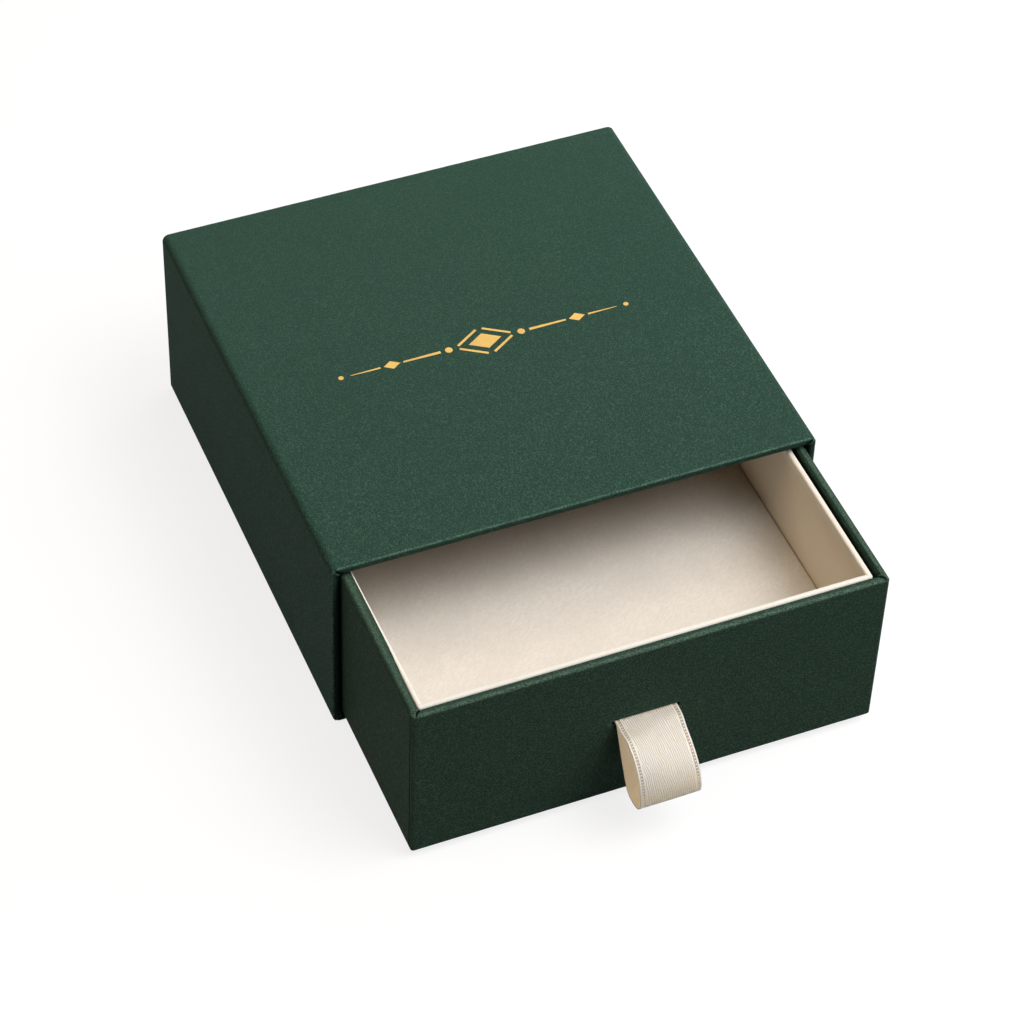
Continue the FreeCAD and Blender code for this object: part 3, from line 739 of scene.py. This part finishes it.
class GiftBoxPaper(bpy.types.PropertyGroup):
    """Covering paper of the sleeve and the drawer."""

    sleeve_colour: bpy.props.FloatVectorProperty(
        name="Sleeve colour", description="Colour of the sleeve's paper",
        default=(0.038, 0.087, 0.066), **COLOUR,
    )
    drawer_colour: bpy.props.FloatVectorProperty(
        name="Drawer colour", description="Colour of the drawer's paper",
        default=(0.040, 0.079, 0.055), **COLOUR,
    )
    lining_colour: bpy.props.FloatVectorProperty(
        name="Lining colour", description="Colour of the paper inside the sleeve",
        default=(0.17, 0.11, 0.045), **COLOUR,
    )
    grain_size: bpy.props.FloatProperty(
        name="Grain size", description="Distance between the flecks of the pressed grain",
        default=0.52 * MM, **LENGTH,
    )
    grain_contrast: bpy.props.FloatProperty(
        name="Grain contrast", description="How much lighter and darker the flecks are",
        subtype="FACTOR", min=0, max=1, default=0.27,
    )


class GiftBoxLiner(bpy.types.PropertyGroup):
    """Cream liner in the drawer."""

    rim_colour: bpy.props.FloatVectorProperty(
        name="Rim colour", description="Colour of the paper over the liner's rim",
        default=(0.9, 0.87, 0.81), **COLOUR,
    )
    # painted shade: the rim's paper as shaded on the liner's walls
    wall_shade_colour: bpy.props.FloatVectorProperty(
        name="Wall colour", description="Colour of the paper on the liner's walls",
        default=(0.88, 0.79, 0.66), **COLOUR,
    )
    floor_colour: bpy.props.FloatVectorProperty(
        name="Floor colour", description="Colour of the paper on the raised floor",
        default=(0.86, 0.81, 0.75), **COLOUR,
    )
    # painted shade for deep inside the liner and the back of its floor
    inner_shade_colour: bpy.props.FloatVectorProperty(
        name="Inner colour", description="Colour of the cream papers deep inside",
        default=(0.52, 0.38, 0.19), **COLOUR,
    )
    tooth_size: bpy.props.FloatProperty(
        name="Tooth size", description="Distance between the faint ridges of the cream paper",
        default=0.42 * MM, **LENGTH,
    )


class GiftBoxRibbon(bpy.types.PropertyGroup):
    """Ribbon pull and its stitched edges."""

    colour: bpy.props.FloatVectorProperty(
        name="Ribbon colour", description="Colour of the ribbon's face", default=(1.0, 0.94, 0.86), **COLOUR
    )
    # painted shade: the ribbon's colour as shaded on its back and the loop's bottom
    inside_shade_colour: bpy.props.FloatVectorProperty(
        name="Inside colour", description="Colour of the ribbon's back, inside the loop",
        default=(0.95, 0.8, 0.61), **COLOUR,
    )
    rib_pitch: bpy.props.FloatProperty(
        name="Rib pitch", description="Distance between the cords of the weave", default=0.62 * MM, **LENGTH
    )
    stitch_pitch: bpy.props.FloatProperty(
        name="Stitch pitch", description="Distance between the stitches of the edges",
        default=0.95 * MM, **LENGTH,
    )
    stitch_length: bpy.props.FloatProperty(
        name="Stitch length", description="Length of one stitch, across the edge band",
        default=0.7 * MM, **LENGTH,
    )


class GiftBoxFoil(bpy.types.PropertyGroup):
    """Stamped ornament on the lid."""

    colour: bpy.props.FloatVectorProperty(
        name="Foil colour", description="Colour of the stamped foil", default=(0.6, 0.4, 0.12), **COLOUR
    )
    length: bpy.props.FloatProperty(
        name="Ornament length", description="Length of the ornament, from left to right",
        default=93 * MM, **LENGTH,
    )
    depth: bpy.props.FloatProperty(
        name="Stamp depth", description="Depth that the stamp presses into the paper",
        default=0.06 * MM, **LENGTH,
    )


class GiftBoxStage(bpy.types.PropertyGroup):
    """Floor, lamps and camera."""

    floor_colour: bpy.props.FloatVectorProperty(
        name="Floor colour", description="Colour of the floor", default=(0.25, 0.25, 0.25), **COLOUR
    )
    lamp_power: bpy.props.FloatProperty(
        name="Lamp power", description="Power of a softbox of share 1 at a distance of 1 m",
        unit="POWER", default=13.3,
    )
    sky: bpy.props.FloatProperty(
        name="Sky", description="Strength of the even light from all round", min=0, default=0.02,
    )


# -------------------------------------------------------------------- operators
class GIFTBOX_OT_boards(bpy.types.Operator):
    """Gives the boards, strips, tapes and hidden papers their finishes"""

    bl_idname = "giftbox.boards"
    bl_label = "Boards and Linings"

    def execute(self, context):
        paper = context.scene.gift_box_paper
        board = grey_board("grey_board", BOARD_COLOUR)
        lining = plain_paper("sleeve_lining", paper.lining_colour, 0.8 * MM, 0.02 * MM)
        back = grained_paper("back_paper", paper.sleeve_colour, paper)
        tape = plain_paper("gummed_tape", TAPE_COLOUR, 0.6 * MM, 0.03 * MM, mottle=0.16)
        special = {
            "drawer_front_board": grey_board("slot_board", BOARD_COLOUR, slot_shade=True),
            "sleeve_lining_paper": lining,
            "sleeve_back_sheet": back,
            "drawer_corner_stays": tape,
            "ribbon_patch": tape,
        }
        for name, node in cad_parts.items():
            node.data.materials.clear()
            node.data.materials.append(special.get(name, board))
        return {"FINISHED"}


class GIFTBOX_OT_sleeve_cover(bpy.types.Operator):
    """Wraps the sleeve in grained paper, turned into its mouth and folded over its back"""

    bl_idname = "giftbox.sleeve_cover"
    bl_label = "Sleeve Cover"

    def execute(self, context):
        paper, foil = context.scene.gift_box_paper, context.scene.gift_box_foil
        half = (SLEEVE_HIGH.x, SLEEVE_HIGH.z / 2)
        base, mouth = -SLEEVE_HIGH.y, -SLEEVE_LOW.y  # heights along the sleeve, to its mouth
        lap = -half[0] + LAP_INSET

        def place(u, v, height):
            return u, -height + 0 * u, v + half[1]

        def shape(u, v, outer, _rows):
            points = np.stack(place(u, v, outer[:, HEIGHT] + 0 * u), axis=-1)
            rise, edge = edge_wear_and_painted_light(outer, points)
            fold, fold_edge = corner_fold(half, u, v, outer)
            wall = near_place(outer, 1.5, 0.1) * np.ones_like(u)
            under = wall * (v < -half[1] + PAPER)
            inset = outer[:, INSET]
            end_face = near_place(outer, 2.5, 0.6) * ease(inset, 0.5 * MM, 0.9 * MM)
            at_side = ease(np.abs(u), half[0] - 3.4 * MM, half[0] - 2.6 * MM)
            # painted shade on the mouth's end face, darkest over the side walls' inner half
            painted_mouth_shade = end_face * (0.3 + 0.6 * at_side * ease(inset, 1.2 * MM, 1.7 * MM))
            rise = rise + fold - wall * WALL_WAVE * (1 + ripple(points, 30 * MM, 7))
            rise = rise - under * LAP_STEP * (1 - ease(np.abs(u - lap), 0.1 * MM, 0.9 * MM))
            edge = edge + fold_edge - painted_mouth_shade * (1 - np.maximum(fold_edge, 0))
            return np.maximum(rise, -DEEPEST_PRESS), np.clip(edge, -1, 1)

        section = [(BACK_FLAP, base), (0, base), (0, mouth), (RIM, mouth), (RIM, mouth - SLEEVE_TURN_IN)]
        cover = wrapped_paper(
            "sleeve_cover", section, (CUT_RADIUS, MOUTH_RADIUS, MOUTH_RADIUS), (4, 36, 4, 6),
            PAPER, half, FOLD_RADIUS, 1.1 * MM, place, shape, closed=True,
        )
        top = SLEEVE_HIGH.z
        cut_from(cover, prism("foil_recess", ornament(foil.length, 0.03 * MM), top - foil.depth, top + MM))
        finish = grained_paper("sleeve_paper", paper.sleeve_colour, paper)
        finish_piece(cover, finish, "sleeve", "sleeve_paper", "sleeve_cover_paper")
        return {"FINISHED"}


class GIFTBOX_OT_drawer_cover(bpy.types.Operator):
    """Wraps the drawer in grained paper, turned over its rim, with a slot for the ribbon"""

    bl_idname = "giftbox.drawer_cover"
    bl_label = "Drawer Cover"

    def execute(self, context):
        paper = context.scene.gift_box_paper
        half = (DRAWER_HIGH.x, (DRAWER_HIGH.y - DRAWER_LOW.y) / 2)
        middle_y = (DRAWER_HIGH.y + DRAWER_LOW.y) / 2
        low, high = DRAWER_LOW.z, DRAWER_HIGH.z

        def place(u, v, height):
            inward = half[0] - np.abs(u)
            lean = ease(v, -half[1] + 2 * MM, -half[1] + 30 * MM) * (inward < 1.2 * RIM)
            lean = lean * ease(height, high - 0.8 * MM, high - 0.3 * MM) * ease(inward, 0.6 * RIM, RIM)
            lean = lean * np.where(u < 0, LEFT_RIM_LEAN, -RIGHT_RIM_LEAN)
            return u + lean, v + middle_y, height + 0 * u

        def shape(u, v, outer, rows):
            height = outer[:, HEIGHT] + 0 * u
            points = np.stack(place(u, v, height), axis=-1)
            rise, edge = edge_wear_and_painted_light(outer, points)
            fold, fold_edge = corner_fold(half, u, v, outer)
            wall = near_place(outer, 1.5, 0.1) * np.ones_like(u)
            side = wall * (np.abs(u) > half[0] - 0.05 * MM)
            front = wall * (v < -half[1] + 0.05 * MM)
            from_end = half[1] - np.abs(v)
            _, _, shift_u, shift_v, angle = rows.T
            # the rounded upright corners, which get a painted highlight
            upright = wall * np.sin(2 * angle) ** 2 * (shift_u + shift_v == 0)
            from_slot = np.hypot(
                np.maximum(np.abs(u - RIBBON_X) - SLOT_HALF_WIDTH, 0),
                np.maximum(np.abs(height - SLOT_Z) - SLOT_HALF_HEIGHT, 0),
            )
            rise = rise + fold - wall * WALL_WAVE * (1 + ripple(points, 26 * MM, 11))
            rise = rise - side * SIDE_SEAM_DEPTH * bump_at(from_end, SIDE_SEAM_INSET, 0.17 * MM)
            rise = rise - front * SLOT_PRESS * bump_at(from_slot, 0, 0.45 * MM)
            seam_mark = 0.5 * bump_at(from_end, 1.2 * MM, 0.2 * MM)
            seam_mark = seam_mark - 1.6 * bump_at(from_end, SIDE_SEAM_INSET, 0.3 * MM)
            at_side = ease(np.abs(u), half[0] - 2.8 * MM, half[0] - 2.4 * MM)
            at_side = at_side * ease(from_end, 1.5 * MM, 3 * MM)
            edge = edge * (1 - at_side * (outer[:, PLACE] < 2.3))
            # painted highlight along the crown of the side rims, and painted shade down the right rim's inner
            # side
            crest = bump_at(outer[:, INSET], 0.55 * RIM, 0.3 * RIM) * (outer[:, OUT_HEIGHT] > 0.3)
            gap = 0.7 * bump_at(outer[:, OUT_INSET], 0.5, 0.2) + ease(high - height, 1.0 * MM, 1.3 * MM)
            gap = gap * (outer[:, PLACE] > 2.6)
            edge = edge + at_side * (0.5 * crest - (u > 0) * gap)
            edge = edge + fold_edge + 0.4 * upright + side * seam_mark
            edge = edge + 0.5 * front * bump_at(from_slot, 0.35 * MM, 0.2 * MM)
            return np.maximum(rise, -DEEPEST_PRESS), np.clip(edge, -1, 1)

        section = [(3 * MM, low), (0, low), (0, high), (RIM, high), (RIM, high - DRAWER_TURN_IN)]
        cover = wrapped_paper(
            "drawer_cover", section, (CUT_RADIUS, CUT_RADIUS, TURNED_RADIUS), (2, 72, 4, 6),
            PAPER, half, CUT_RADIUS, 1.4 * MM, place, shape, closed=False,
        )
        front = DRAWER_LOW.y
        cut_from(cover, prism("slot_cutter", [slot_outline()], front - MM, front + 2 * MM, upright=False))
        finish = grained_paper("drawer_paper", paper.drawer_colour, paper)
        finish_piece(cover, finish, "drawer", "drawer_paper", "drawer_cover_paper")
        return {"FINISHED"}


class GIFTBOX_OT_liner(bpy.types.Operator):
    """Covers the liner frame and the raised floor in cream paper"""

    bl_idname = "giftbox.liner"
    bl_label = "Cream Liner"

    def execute(self, context):
        liner = context.scene.gift_box_liner
        half = ((LINER_HIGH.x - LINER_LOW.x) / 2, (LINER_HIGH.y - LINER_LOW.y) / 2)
        middle = (LINER_HIGH + LINER_LOW) / 2
        top = LINER_HIGH.z

        def place(u, v, height):
            from_left = u + half[0]
            thinned = thinning(v + middle.y)
            thinned = thinned * ease(from_left, 0, LINER_WALL) * (1 - ease(from_left, LINER_WALL, 14 * MM))
            return u + middle.x - thinned, v + middle.y, height + 0 * u

        def shape(u, v, outer, _rows):
            height, inset = outer[:, HEIGHT] + 0 * u, outer[:, INSET]
            points = np.stack(place(u, v, height), axis=-1)
            crown = outer[:, BEND] * 0.02 * MM * ripple(points, 9 * MM, 3)
            fold, fold_edge = corner_fold(half, u, v, outer, 1.2 * MM)
            # painted shade: the walls' inner faces, deeper towards the back, the rims' inner halves, the
            # crease and fold gaps
            lower = ease(top - height, 0.5 * MM, 1.6 * MM) * (outer[:, PLACE] > 2.2)
            inner_half = ease(inset, 0.9 * MM, 1.1 * MM)
            at_front = bump_at(v + half[1], 0, 1.5 * LINER_WALL)
            at_right = 1.0 * (u > half[0] - LINER_WALL)
            crease_shade = bump_at(inset, 0.95 * MM, 0.13 * MM) * near_place(outer, 2, 0.49)
            painted_shade = np.maximum(lower, (0.15 * at_front + 0.5 * at_right) * inner_half + 0.3 * at_right)
            painted_shade = np.maximum(painted_shade, 1.2 * crease_shade * at_front)
            painted_shade = painted_shade + 0.22 * lower * ease(v, -half[1], half[1])
            return crown + 0.5 * fold, painted_shade - 0.5 * np.minimum(fold_edge, 0)

        section = [(0, top - LINER_FLAP), (0, top), (LINER_WALL, top), (LINER_WALL, LINER_LOW.z)]
        cover = wrapped_paper(
            "liner_cover", section, (LINER_EDGE_RADIUS, LINER_EDGE_RADIUS), (5, 3, 12),
            LINER_PAPER, half, LINER_CORNER_RADIUS, 1.6 * MM, place, shape, closed=True, mark="painted_shade",
        )
        paper = plain_paper(
            "liner_paper", liner.rim_colour, liner.tooth_size, 0.05 * MM,
            painted_shade_colour=liner.wall_shade_colour, deep_shade_colour=liner.inner_shade_colour,
        )
        finish_piece(cover, paper, "drawer", "cream_paper", "liner_cover_paper", "liner_left_board")
        sheet = floor_sheet()
        paper = plain_paper(
            "floor_paper", liner.floor_colour, liner.tooth_size, 0.1 * MM, mottle=0.1,
            painted_shade_colour=liner.inner_shade_colour,
        )
        finish_piece(sheet, paper, "drawer", "floor_paper", "liner_floor_sheet")
        return {"FINISHED"}


class GIFTBOX_OT_ribbon(bpy.types.Operator):
    """Makes the ribbon pull: tails, slot and loop in one, and the stitches of its edges"""

    bl_idname = "giftbox.ribbon"
    bl_label = "Ribbon Pull"

    def execute(self, context):
        ribbon = context.scene.gift_box_ribbon
        line = softened(ribbon_path(), 5)
        band = self.band(line)
        weave = woven_ribbon("ribbon_weave", ribbon.colour, ribbon.inside_shade_colour, ribbon.rib_pitch)
        finish_piece(band, weave, None, "ribbon", "ribbon_loop", "ribbon_tails")
        stitches = self.stitches(line, ribbon)
        finish_piece(stitches, stitches.data.materials[0], None, "ribbon")
        for piece in (band, stitches):
            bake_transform(piece)
        return {"FINISHED"}

    def band(self, line):
        """The ribbon itself, with a groove and a cord along each edge of its face."""
        line = line[::4]
        normals, run = path_frame(line)
        section, inside = self.section()
        foot = TAIL_LENGTH + RIM + ROOT_REACH + math.radians(SHOULDER_TURN) * SHOULDER_RADIUS
        foot += (math.pi / 2 - math.radians(SHOULDER_TURN)) * BROW_RADIUS
        bottom = ease(run, foot - 8 * MM, foot + 1 * MM)
        across, run = section[:, 0], run[:, None]
        off = section[:, 1] + twisted(run, across)
        out, up = (line[:, k, None] + normals[:, k, None] * off for k in range(2))
        spread = np.stack([across + RIBBON_X + 0 * run, DRAWER_LOW.y - out, up], axis=-1)
        rows, around = spread.shape[:2]
        marks = {
            # the loop's bottom bend takes the painted shade of the back
            "inside": np.maximum(inside, 0.85 * bottom[:, None]),
            "across": np.tile(across, (rows, 1)),
            "along": np.tile(run, (1, around)),
        }
        band = new_piece("ribbon_pull", spread.reshape(-1, 3), tube_faces(rows, around), marks)
        mesh = band.data
        places = np.zeros((len(mesh.vertices), 2))
        for k, mark in enumerate(("across", "along")):
            values = np.zeros(len(mesh.vertices), np.float32)
            mesh.attributes[mark].data.foreach_get("value", values)
            places[:, k] = values
            mesh.attributes.remove(mesh.attributes[mark])
        owners = np.zeros(len(mesh.loops), int)
        mesh.loops.foreach_get("vertex_index", owners)
        mesh.uv_layers.new(name="ribbon").data.foreach_set("uv", places[owners].ravel())
        return band

    def section(self):
        """Points (across, off) round the ribbon, and how much each belongs to its back."""
        half = RIBBON_THICKNESS / 2
        steps = np.concatenate([np.linspace(0, 0.77, 12), [0.8, 0.82, 0.84, 0.86, 0.9, 0.93, 0.95, 0.97]])
        steps = np.concatenate([-steps[:0:-1], steps]) * RIBBON_HALF_WIDTH
        from_edge = RIBBON_HALF_WIDTH - np.abs(steps)
        face = 0.85 * half + 0.15 * half * bump_at(from_edge, 1.7 * MM, 0.16 * MM)
        face = face - 0.25 * half * ease(from_edge, 1.6 * MM, 1.3 * MM) * ease(from_edge, 0.3 * MM, 0.55 * MM)
        face = np.where(from_edge < 0.6 * MM, 0.98 * half, face)
        back = -0.9 * half + 0 * steps
        edge = []
        for angle in np.radians((60, 25, -25, -60)):
            edge.append((RIBBON_HALF_WIDTH - half * (1 - math.cos(angle)), half * math.sin(angle)))
        section = [*zip(steps, face), *edge, *zip(steps[::-1], back), *((-u, t) for u, t in edge[::-1])]
        inside = np.concatenate([0 * face, [0, 0.3, 0.7, 1], 0 * back + 1, [1, 0.7, 0.3, 0]])
        return np.array(section), inside

    def stitches(self, line, ribbon):
        """Rows of stitches in the edge grooves of the loop, laid along two rails."""
        normals, run = path_frame(line)
        out_of_slot = [i for i in range(len(line)) if line[i, 0] > 0.3 * MM]
        groove = 0.62 * RIBBON_THICKNESS / 2
        points, edges = [], []
        for side in (-1, 1):
            x = RIBBON_X + side * (RIBBON_HALF_WIDTH - STITCH_INSET)
            start = len(points)
            for i in out_of_slot:
                out, up = line[i] + normals[i] * (groove + twisted(run[i], x - RIBBON_X))
                points.append((x, DRAWER_LOW.y - out, up))
            edges += [(k, k + 1) for k in range(start, len(points) - 1)]
        mesh = bpy.data.meshes.new("ribbon_stitching")
        mesh.from_pydata(points, edges, [])
        piece = placed("ribbon_stitching", mesh)
        thread = stitch_thread("ribbon_thread", tinted(ribbon.colour, 1.12))
        sizes = {
            "Pitch": ribbon.stitch_pitch,
            "Length": ribbon.stitch_length,
            "Width": 0.36 * MM,
            "Height": 0.1 * MM,
            "Seed": 3,
        }
        use_tree(piece, stitch_tree(), sizes, thread)
        baked(piece)
        piece.data.shade_smooth()
        piece.data.materials.clear()
        piece.data.materials.append(thread)
        return piece


class GIFTBOX_OT_foil(bpy.types.Operator):
    """Lays the stamped foil ornament in its recess on the lid"""

    bl_idname = "giftbox.foil"
    bl_label = "Foil Ornament"

    def execute(self, context):
        foil = context.scene.gift_box_foil
        top = SLEEVE_HIGH.z
        piece = prism("foil_ornament", ornament(foil.length, 0), top - foil.depth, top - foil.depth / 3)
        finish_piece(piece, stamped_foil("gold_foil", foil.colour), "sleeve", "sleeve_paper")
        return {"FINISHED"}


CAMERA_LENS = 123.795  # in mm, on a sensor of the width below
CAMERA_SENSOR = 36.0
CAMERA_PLACE = (-0.299305, -0.702441, 0.784529)
CAMERA_TURN = (43.784325, -1.601843, -22.266106)  # degrees
NEUTRAL = (1.0, 1.0, 1.0)
WARM = (1.0, 0.8, 0.55)
LAMP_AIM = Vector((0, -0.03, 0.05))
# Softboxes: name, place, share of the lamp power and tint.
SOFTBOXES = (
    ("front_softbox", (0.48, -0.54, 1.25), 0.54, NEUTRAL),
    ("right_softbox", (0.52, -0.04, 0.40), 0.70, NEUTRAL),
    ("left_softbox", (-0.85, 0.0, 1.30), 0.15, WARM),
    ("back_softbox", (0.45, 0.65, 1.30), 0.10, WARM),
)


class GIFTBOX_OT_stage(bpy.types.Operator):
    """Sets the floor, the lamps, the world and the camera"""

    bl_idname = "giftbox.stage"
    bl_label = "Stage"

    def execute(self, context):
        stage = context.scene.gift_box_stage
        self.camera(context.scene)
        self.floor(stage)
        self.lights(context.scene, stage)
        context.scene.view_settings.view_transform = "Standard"
        return {"FINISHED"}

    def camera(self, scene):
        lens = bpy.data.cameras.new("camera")
        lens.lens = CAMERA_LENS
        lens.sensor_width = CAMERA_SENSOR
        lens.clip_start, lens.clip_end = 0.05, 20.0
        camera = placed("camera", lens)
        camera.location = CAMERA_PLACE
        camera.rotation_euler = [math.radians(angle) for angle in CAMERA_TURN]
        scene.camera = camera

    def floor(self, stage):
        """A pale round floor; the camera sees it lifted to white, with its shadows kept."""
        bpy.ops.mesh.primitive_circle_add(vertices=96, radius=3.0, fill_type="NGON")
        floor = bpy.context.active_object
        floor.name = "floor"
        material, tree, shader = new_material("floor_paint")
        speckle = clouds(tree, body_point(tree), 4 * MM)
        colour = blend_colours(tree, speckle, tinted(stage.floor_colour, 0.995), stage.floor_colour)
        surface(tree, shader, colour, 0.9, Specular_IOR_Level=0.1)
        seen = seen_rays(tree)
        glow = add(tree, "ShaderNodeEmission", values={"Color": (1, 1, 1, 1), "Strength": 0.8})
        lifted = add(tree, "ShaderNodeAddShader", {0: shader.outputs[0], 1: glow.outputs[0]})
        mix = add(
            tree, "ShaderNodeMixShader", {0: seen, 1: shader.outputs[0], 2: lifted.outputs[0]}
        )
        tree.links.new(mix.outputs[0], tree.nodes["Material Output"].inputs["Surface"])
        floor.data.materials.append(material)

    def lights(self, scene, stage):
        for name, place, share, tint in SOFTBOXES:
            lamp = bpy.data.lights.new(name, "AREA")
            lamp.color = tint
            lamp.shape = "SQUARE"
            lamp.size = 1.0
            box = placed(name, lamp)
            box.location = place
            aim = LAMP_AIM - box.location
            lamp.energy = stage.lamp_power * share * aim.length_squared
            box.rotation_euler = aim.to_track_quat("-Z", "Y").to_euler()
        world = bpy.data.worlds.new("studio")
        world.use_nodes = True
        tree = world.node_tree
        tree.nodes.clear()
        heading = add(tree, "ShaderNodeTexCoord").outputs["Generated"]
        height = add(tree, "ShaderNodeSeparateXYZ", {"Vector": heading}).outputs["Z"]
        tone = blend_colours(tree, remap(tree, height, 0.0, 0.6), (1.0, 0.82, 0.6), (1.0, 0.9, 0.78))
        light = add(tree, "ShaderNodeBackground", {"Color": tone}, {"Strength": stage.sky})
        white = add(tree, "ShaderNodeBackground", values={"Color": (1, 1, 1, 1), "Strength": 1.0})
        mix = add(
            tree, "ShaderNodeMixShader", {0: seen_rays(tree), 1: light.outputs[0], 2: white.outputs[0]}
        )
        output = add(tree, "ShaderNodeOutputWorld", {"Surface": mix.outputs[0]})
        tree.nodes.active = output
        scene.world = world


def seen_rays(tree):
    """1 for the rays that show what is behind the object, and 0 for those that light it."""
    path = add(tree, "ShaderNodeLightPath")
    either = calc(tree, "MAXIMUM", path.outputs["Is Camera Ray"], path.outputs["Is Glossy Ray"])
    return calc(tree, "MAXIMUM", either, path.outputs["Is Transmission Ray"])


def ornament(length, grow):
    """Outlines of the lid's ornament, each grown by an amount: lozenges, beads and tapered rules."""
    unit = length / 93  # the sizes below are in this unit, and add up to its 93
    outlines = []

    def lozenge(x, half_x, half_y, steps=4):
        half_x, half_y = half_x * unit + grow, half_y * unit + grow
        angles = np.linspace(0, 2 * math.pi, steps, endpoint=False)
        outlines.append([(x * unit + half_x * math.cos(a), half_y * math.sin(a)) for a in angles])

    def bead(x, radius):
        lozenge(x, radius, radius, steps=28)

    def bar(start, end, half_widths, lengthened=0.0):
        ends = np.array((start, end)) * unit
        along = (ends[1] - ends[0]) / np.linalg.norm(ends[1] - ends[0])
        side = np.array((-along[1], along[0]))
        first, last = ends[0] - lengthened * along, ends[1] + lengthened * along
        first_side, last_side = (side * (half * unit + grow) for half in half_widths)
        outlines.append([first - first_side, last - last_side, last + last_side, first + first_side])

    lozenge(0, 5.2, 3.3)
    for side in (-1, 1):
        bar((side * 1.0, 5.3), (side * 8.4, 0.65), (0.4, 0.4), lengthened=grow)
        bar((side * 1.0, -5.3), (side * 8.4, -0.65), (0.4, 0.4), lengthened=grow)
        bead(side * 11.6, 1.15)
        bar((side * 14.2, 0), (side * 26.0, 0), (0.5, 0.32))
        lozenge(side * 29.6, 2.6, 1.7)
        bar((side * 33.2, 0), (side * 42.6, 0), (0.32, 0.1))
        bead(side * 45.6, 0.8)
    return [[(x, y + ORNAMENT_Y) for x, y in outline] for outline in outlines]


def stitch_tree():
    """Geometry nodes that lay one rounded stitch across the rail at each pitch."""
    tree = bpy.data.node_groups.new("stitches", "GeometryNodeTree")
    face = tree.interface
    face.new_socket("Rails", in_out="INPUT", socket_type="NodeSocketGeometry")
    for name in ("Pitch", "Length", "Width", "Height"):
        face.new_socket(name, in_out="INPUT", socket_type="NodeSocketFloat")
    face.new_socket("Seed", in_out="INPUT", socket_type="NodeSocketInt")
    face.new_socket("Thread", in_out="INPUT", socket_type="NodeSocketMaterial")
    face.new_socket("Stitches", in_out="OUTPUT", socket_type="NodeSocketGeometry")
    given = add(tree, "NodeGroupInput").outputs
    rail = add(tree, "GeometryNodeMeshToCurve", {"Mesh": given["Rails"]})
    spaced = add(
        tree, "GeometryNodeResampleCurve", {"Curve": rail.outputs[0], "Length": given["Pitch"]}, mode="LENGTH"
    )
    tangent = add(tree, "GeometryNodeInputTangent")
    turn = add(
        tree, "FunctionNodeAlignRotationToVector", {"Vector": tangent.outputs[0]}, axis="Y", pivot_axis="X"
    )
    grain = add(tree, "GeometryNodeMeshUVSphere", values={"Segments": 8, "Rings": 5, "Radius": 0.5})
    size = add(
        tree, "ShaderNodeCombineXYZ",
        {"X": given["Length"], "Y": given["Width"], "Z": given["Height"]},
    )
    stitch = add(tree, "GeometryNodeTransform", {"Geometry": grain.outputs[0], "Scale": size.outputs[0]})
    vary = add(
        tree, "FunctionNodeRandomValue", {"Seed": given["Seed"]}, data_type="FLOAT_VECTOR"
    )
    vary.inputs[0].default_value = (0.85, 0.85, 0.9)
    vary.inputs[1].default_value = (1.1, 1.15, 1.1)
    laid = add(
        tree, "GeometryNodeInstanceOnPoints",
        {
            "Points": spaced.outputs[0],
            "Instance": stitch.outputs[0],
            "Rotation": turn.outputs[0],
            "Scale": vary.outputs[0],
        },
    )
    real = add(tree, "GeometryNodeRealizeInstances", {"Geometry": laid.outputs[0]})
    dressed = add(
        tree, "GeometryNodeSetMaterial", {"Geometry": real.outputs[0], "Material": given["Thread"]}
    )
    add(tree, "NodeGroupOutput", {"Stitches": dressed.outputs[0]})
    return tree


def use_tree(piece, tree, sizes, material):
    """Puts a geometry tree on a piece with its inputs set by the sockets' identifiers."""
    modifier = piece.modifiers.new("pattern", "NODES")
    modifier.node_group = tree
    names = {item.name: item.identifier for item in tree.interface.items_tree if item.in_out == "INPUT"}
    for name, value in sizes.items():
        modifier[names[name]] = value
    modifier[names["Thread"]] = material


# ------------------------------------------------------------------------ panel
STEPS = (
    GIFTBOX_OT_stage,
    GIFTBOX_OT_boards,
    GIFTBOX_OT_sleeve_cover,
    GIFTBOX_OT_foil,
    GIFTBOX_OT_drawer_cover,
    GIFTBOX_OT_liner,
    GIFTBOX_OT_ribbon,
)
SETTINGS = {
    "gift_box_paper": GiftBoxPaper,
    "gift_box_liner": GiftBoxLiner,
    "gift_box_ribbon": GiftBoxRibbon,
    "gift_box_foil": GiftBoxFoil,
    "gift_box_stage": GiftBoxStage,
}


class GIFTBOX_PT_sidebar(bpy.types.Panel):
    """Settings and steps of the gift box"""

    bl_idname = "GIFTBOX_PT_sidebar"
    bl_label = "Gift Box"
    bl_space_type = "VIEW_3D"
    bl_region_type = "UI"
    bl_category = "Gift Box"

    def draw(self, context):
        for name, group in SETTINGS.items():
            box = self.layout.box()
            for setting in group.__annotations__:
                box.prop(getattr(context.scene, name), setting)
        for step in STEPS:
            self.layout.operator(step.bl_idname)


def register():
    for group in SETTINGS.values():
        bpy.utils.register_class(group)
    for name, group in SETTINGS.items():
        setattr(bpy.types.Scene, name, bpy.props.PointerProperty(type=group))
    for made in (*STEPS, GIFTBOX_PT_sidebar):
        bpy.utils.register_class(made)


def unregister():
    for made in (GIFTBOX_PT_sidebar, *reversed(STEPS)):
        bpy.utils.unregister_class(made)
    for name, group in SETTINGS.items():
        delattr(bpy.types.Scene, name)
        bpy.utils.unregister_class(group)


def main():
    register()
    for step in STEPS:
        family, name = step.bl_idname.split(".")
        getattr(getattr(bpy.ops, family), name)()


if __name__ == "__main__":
    main()
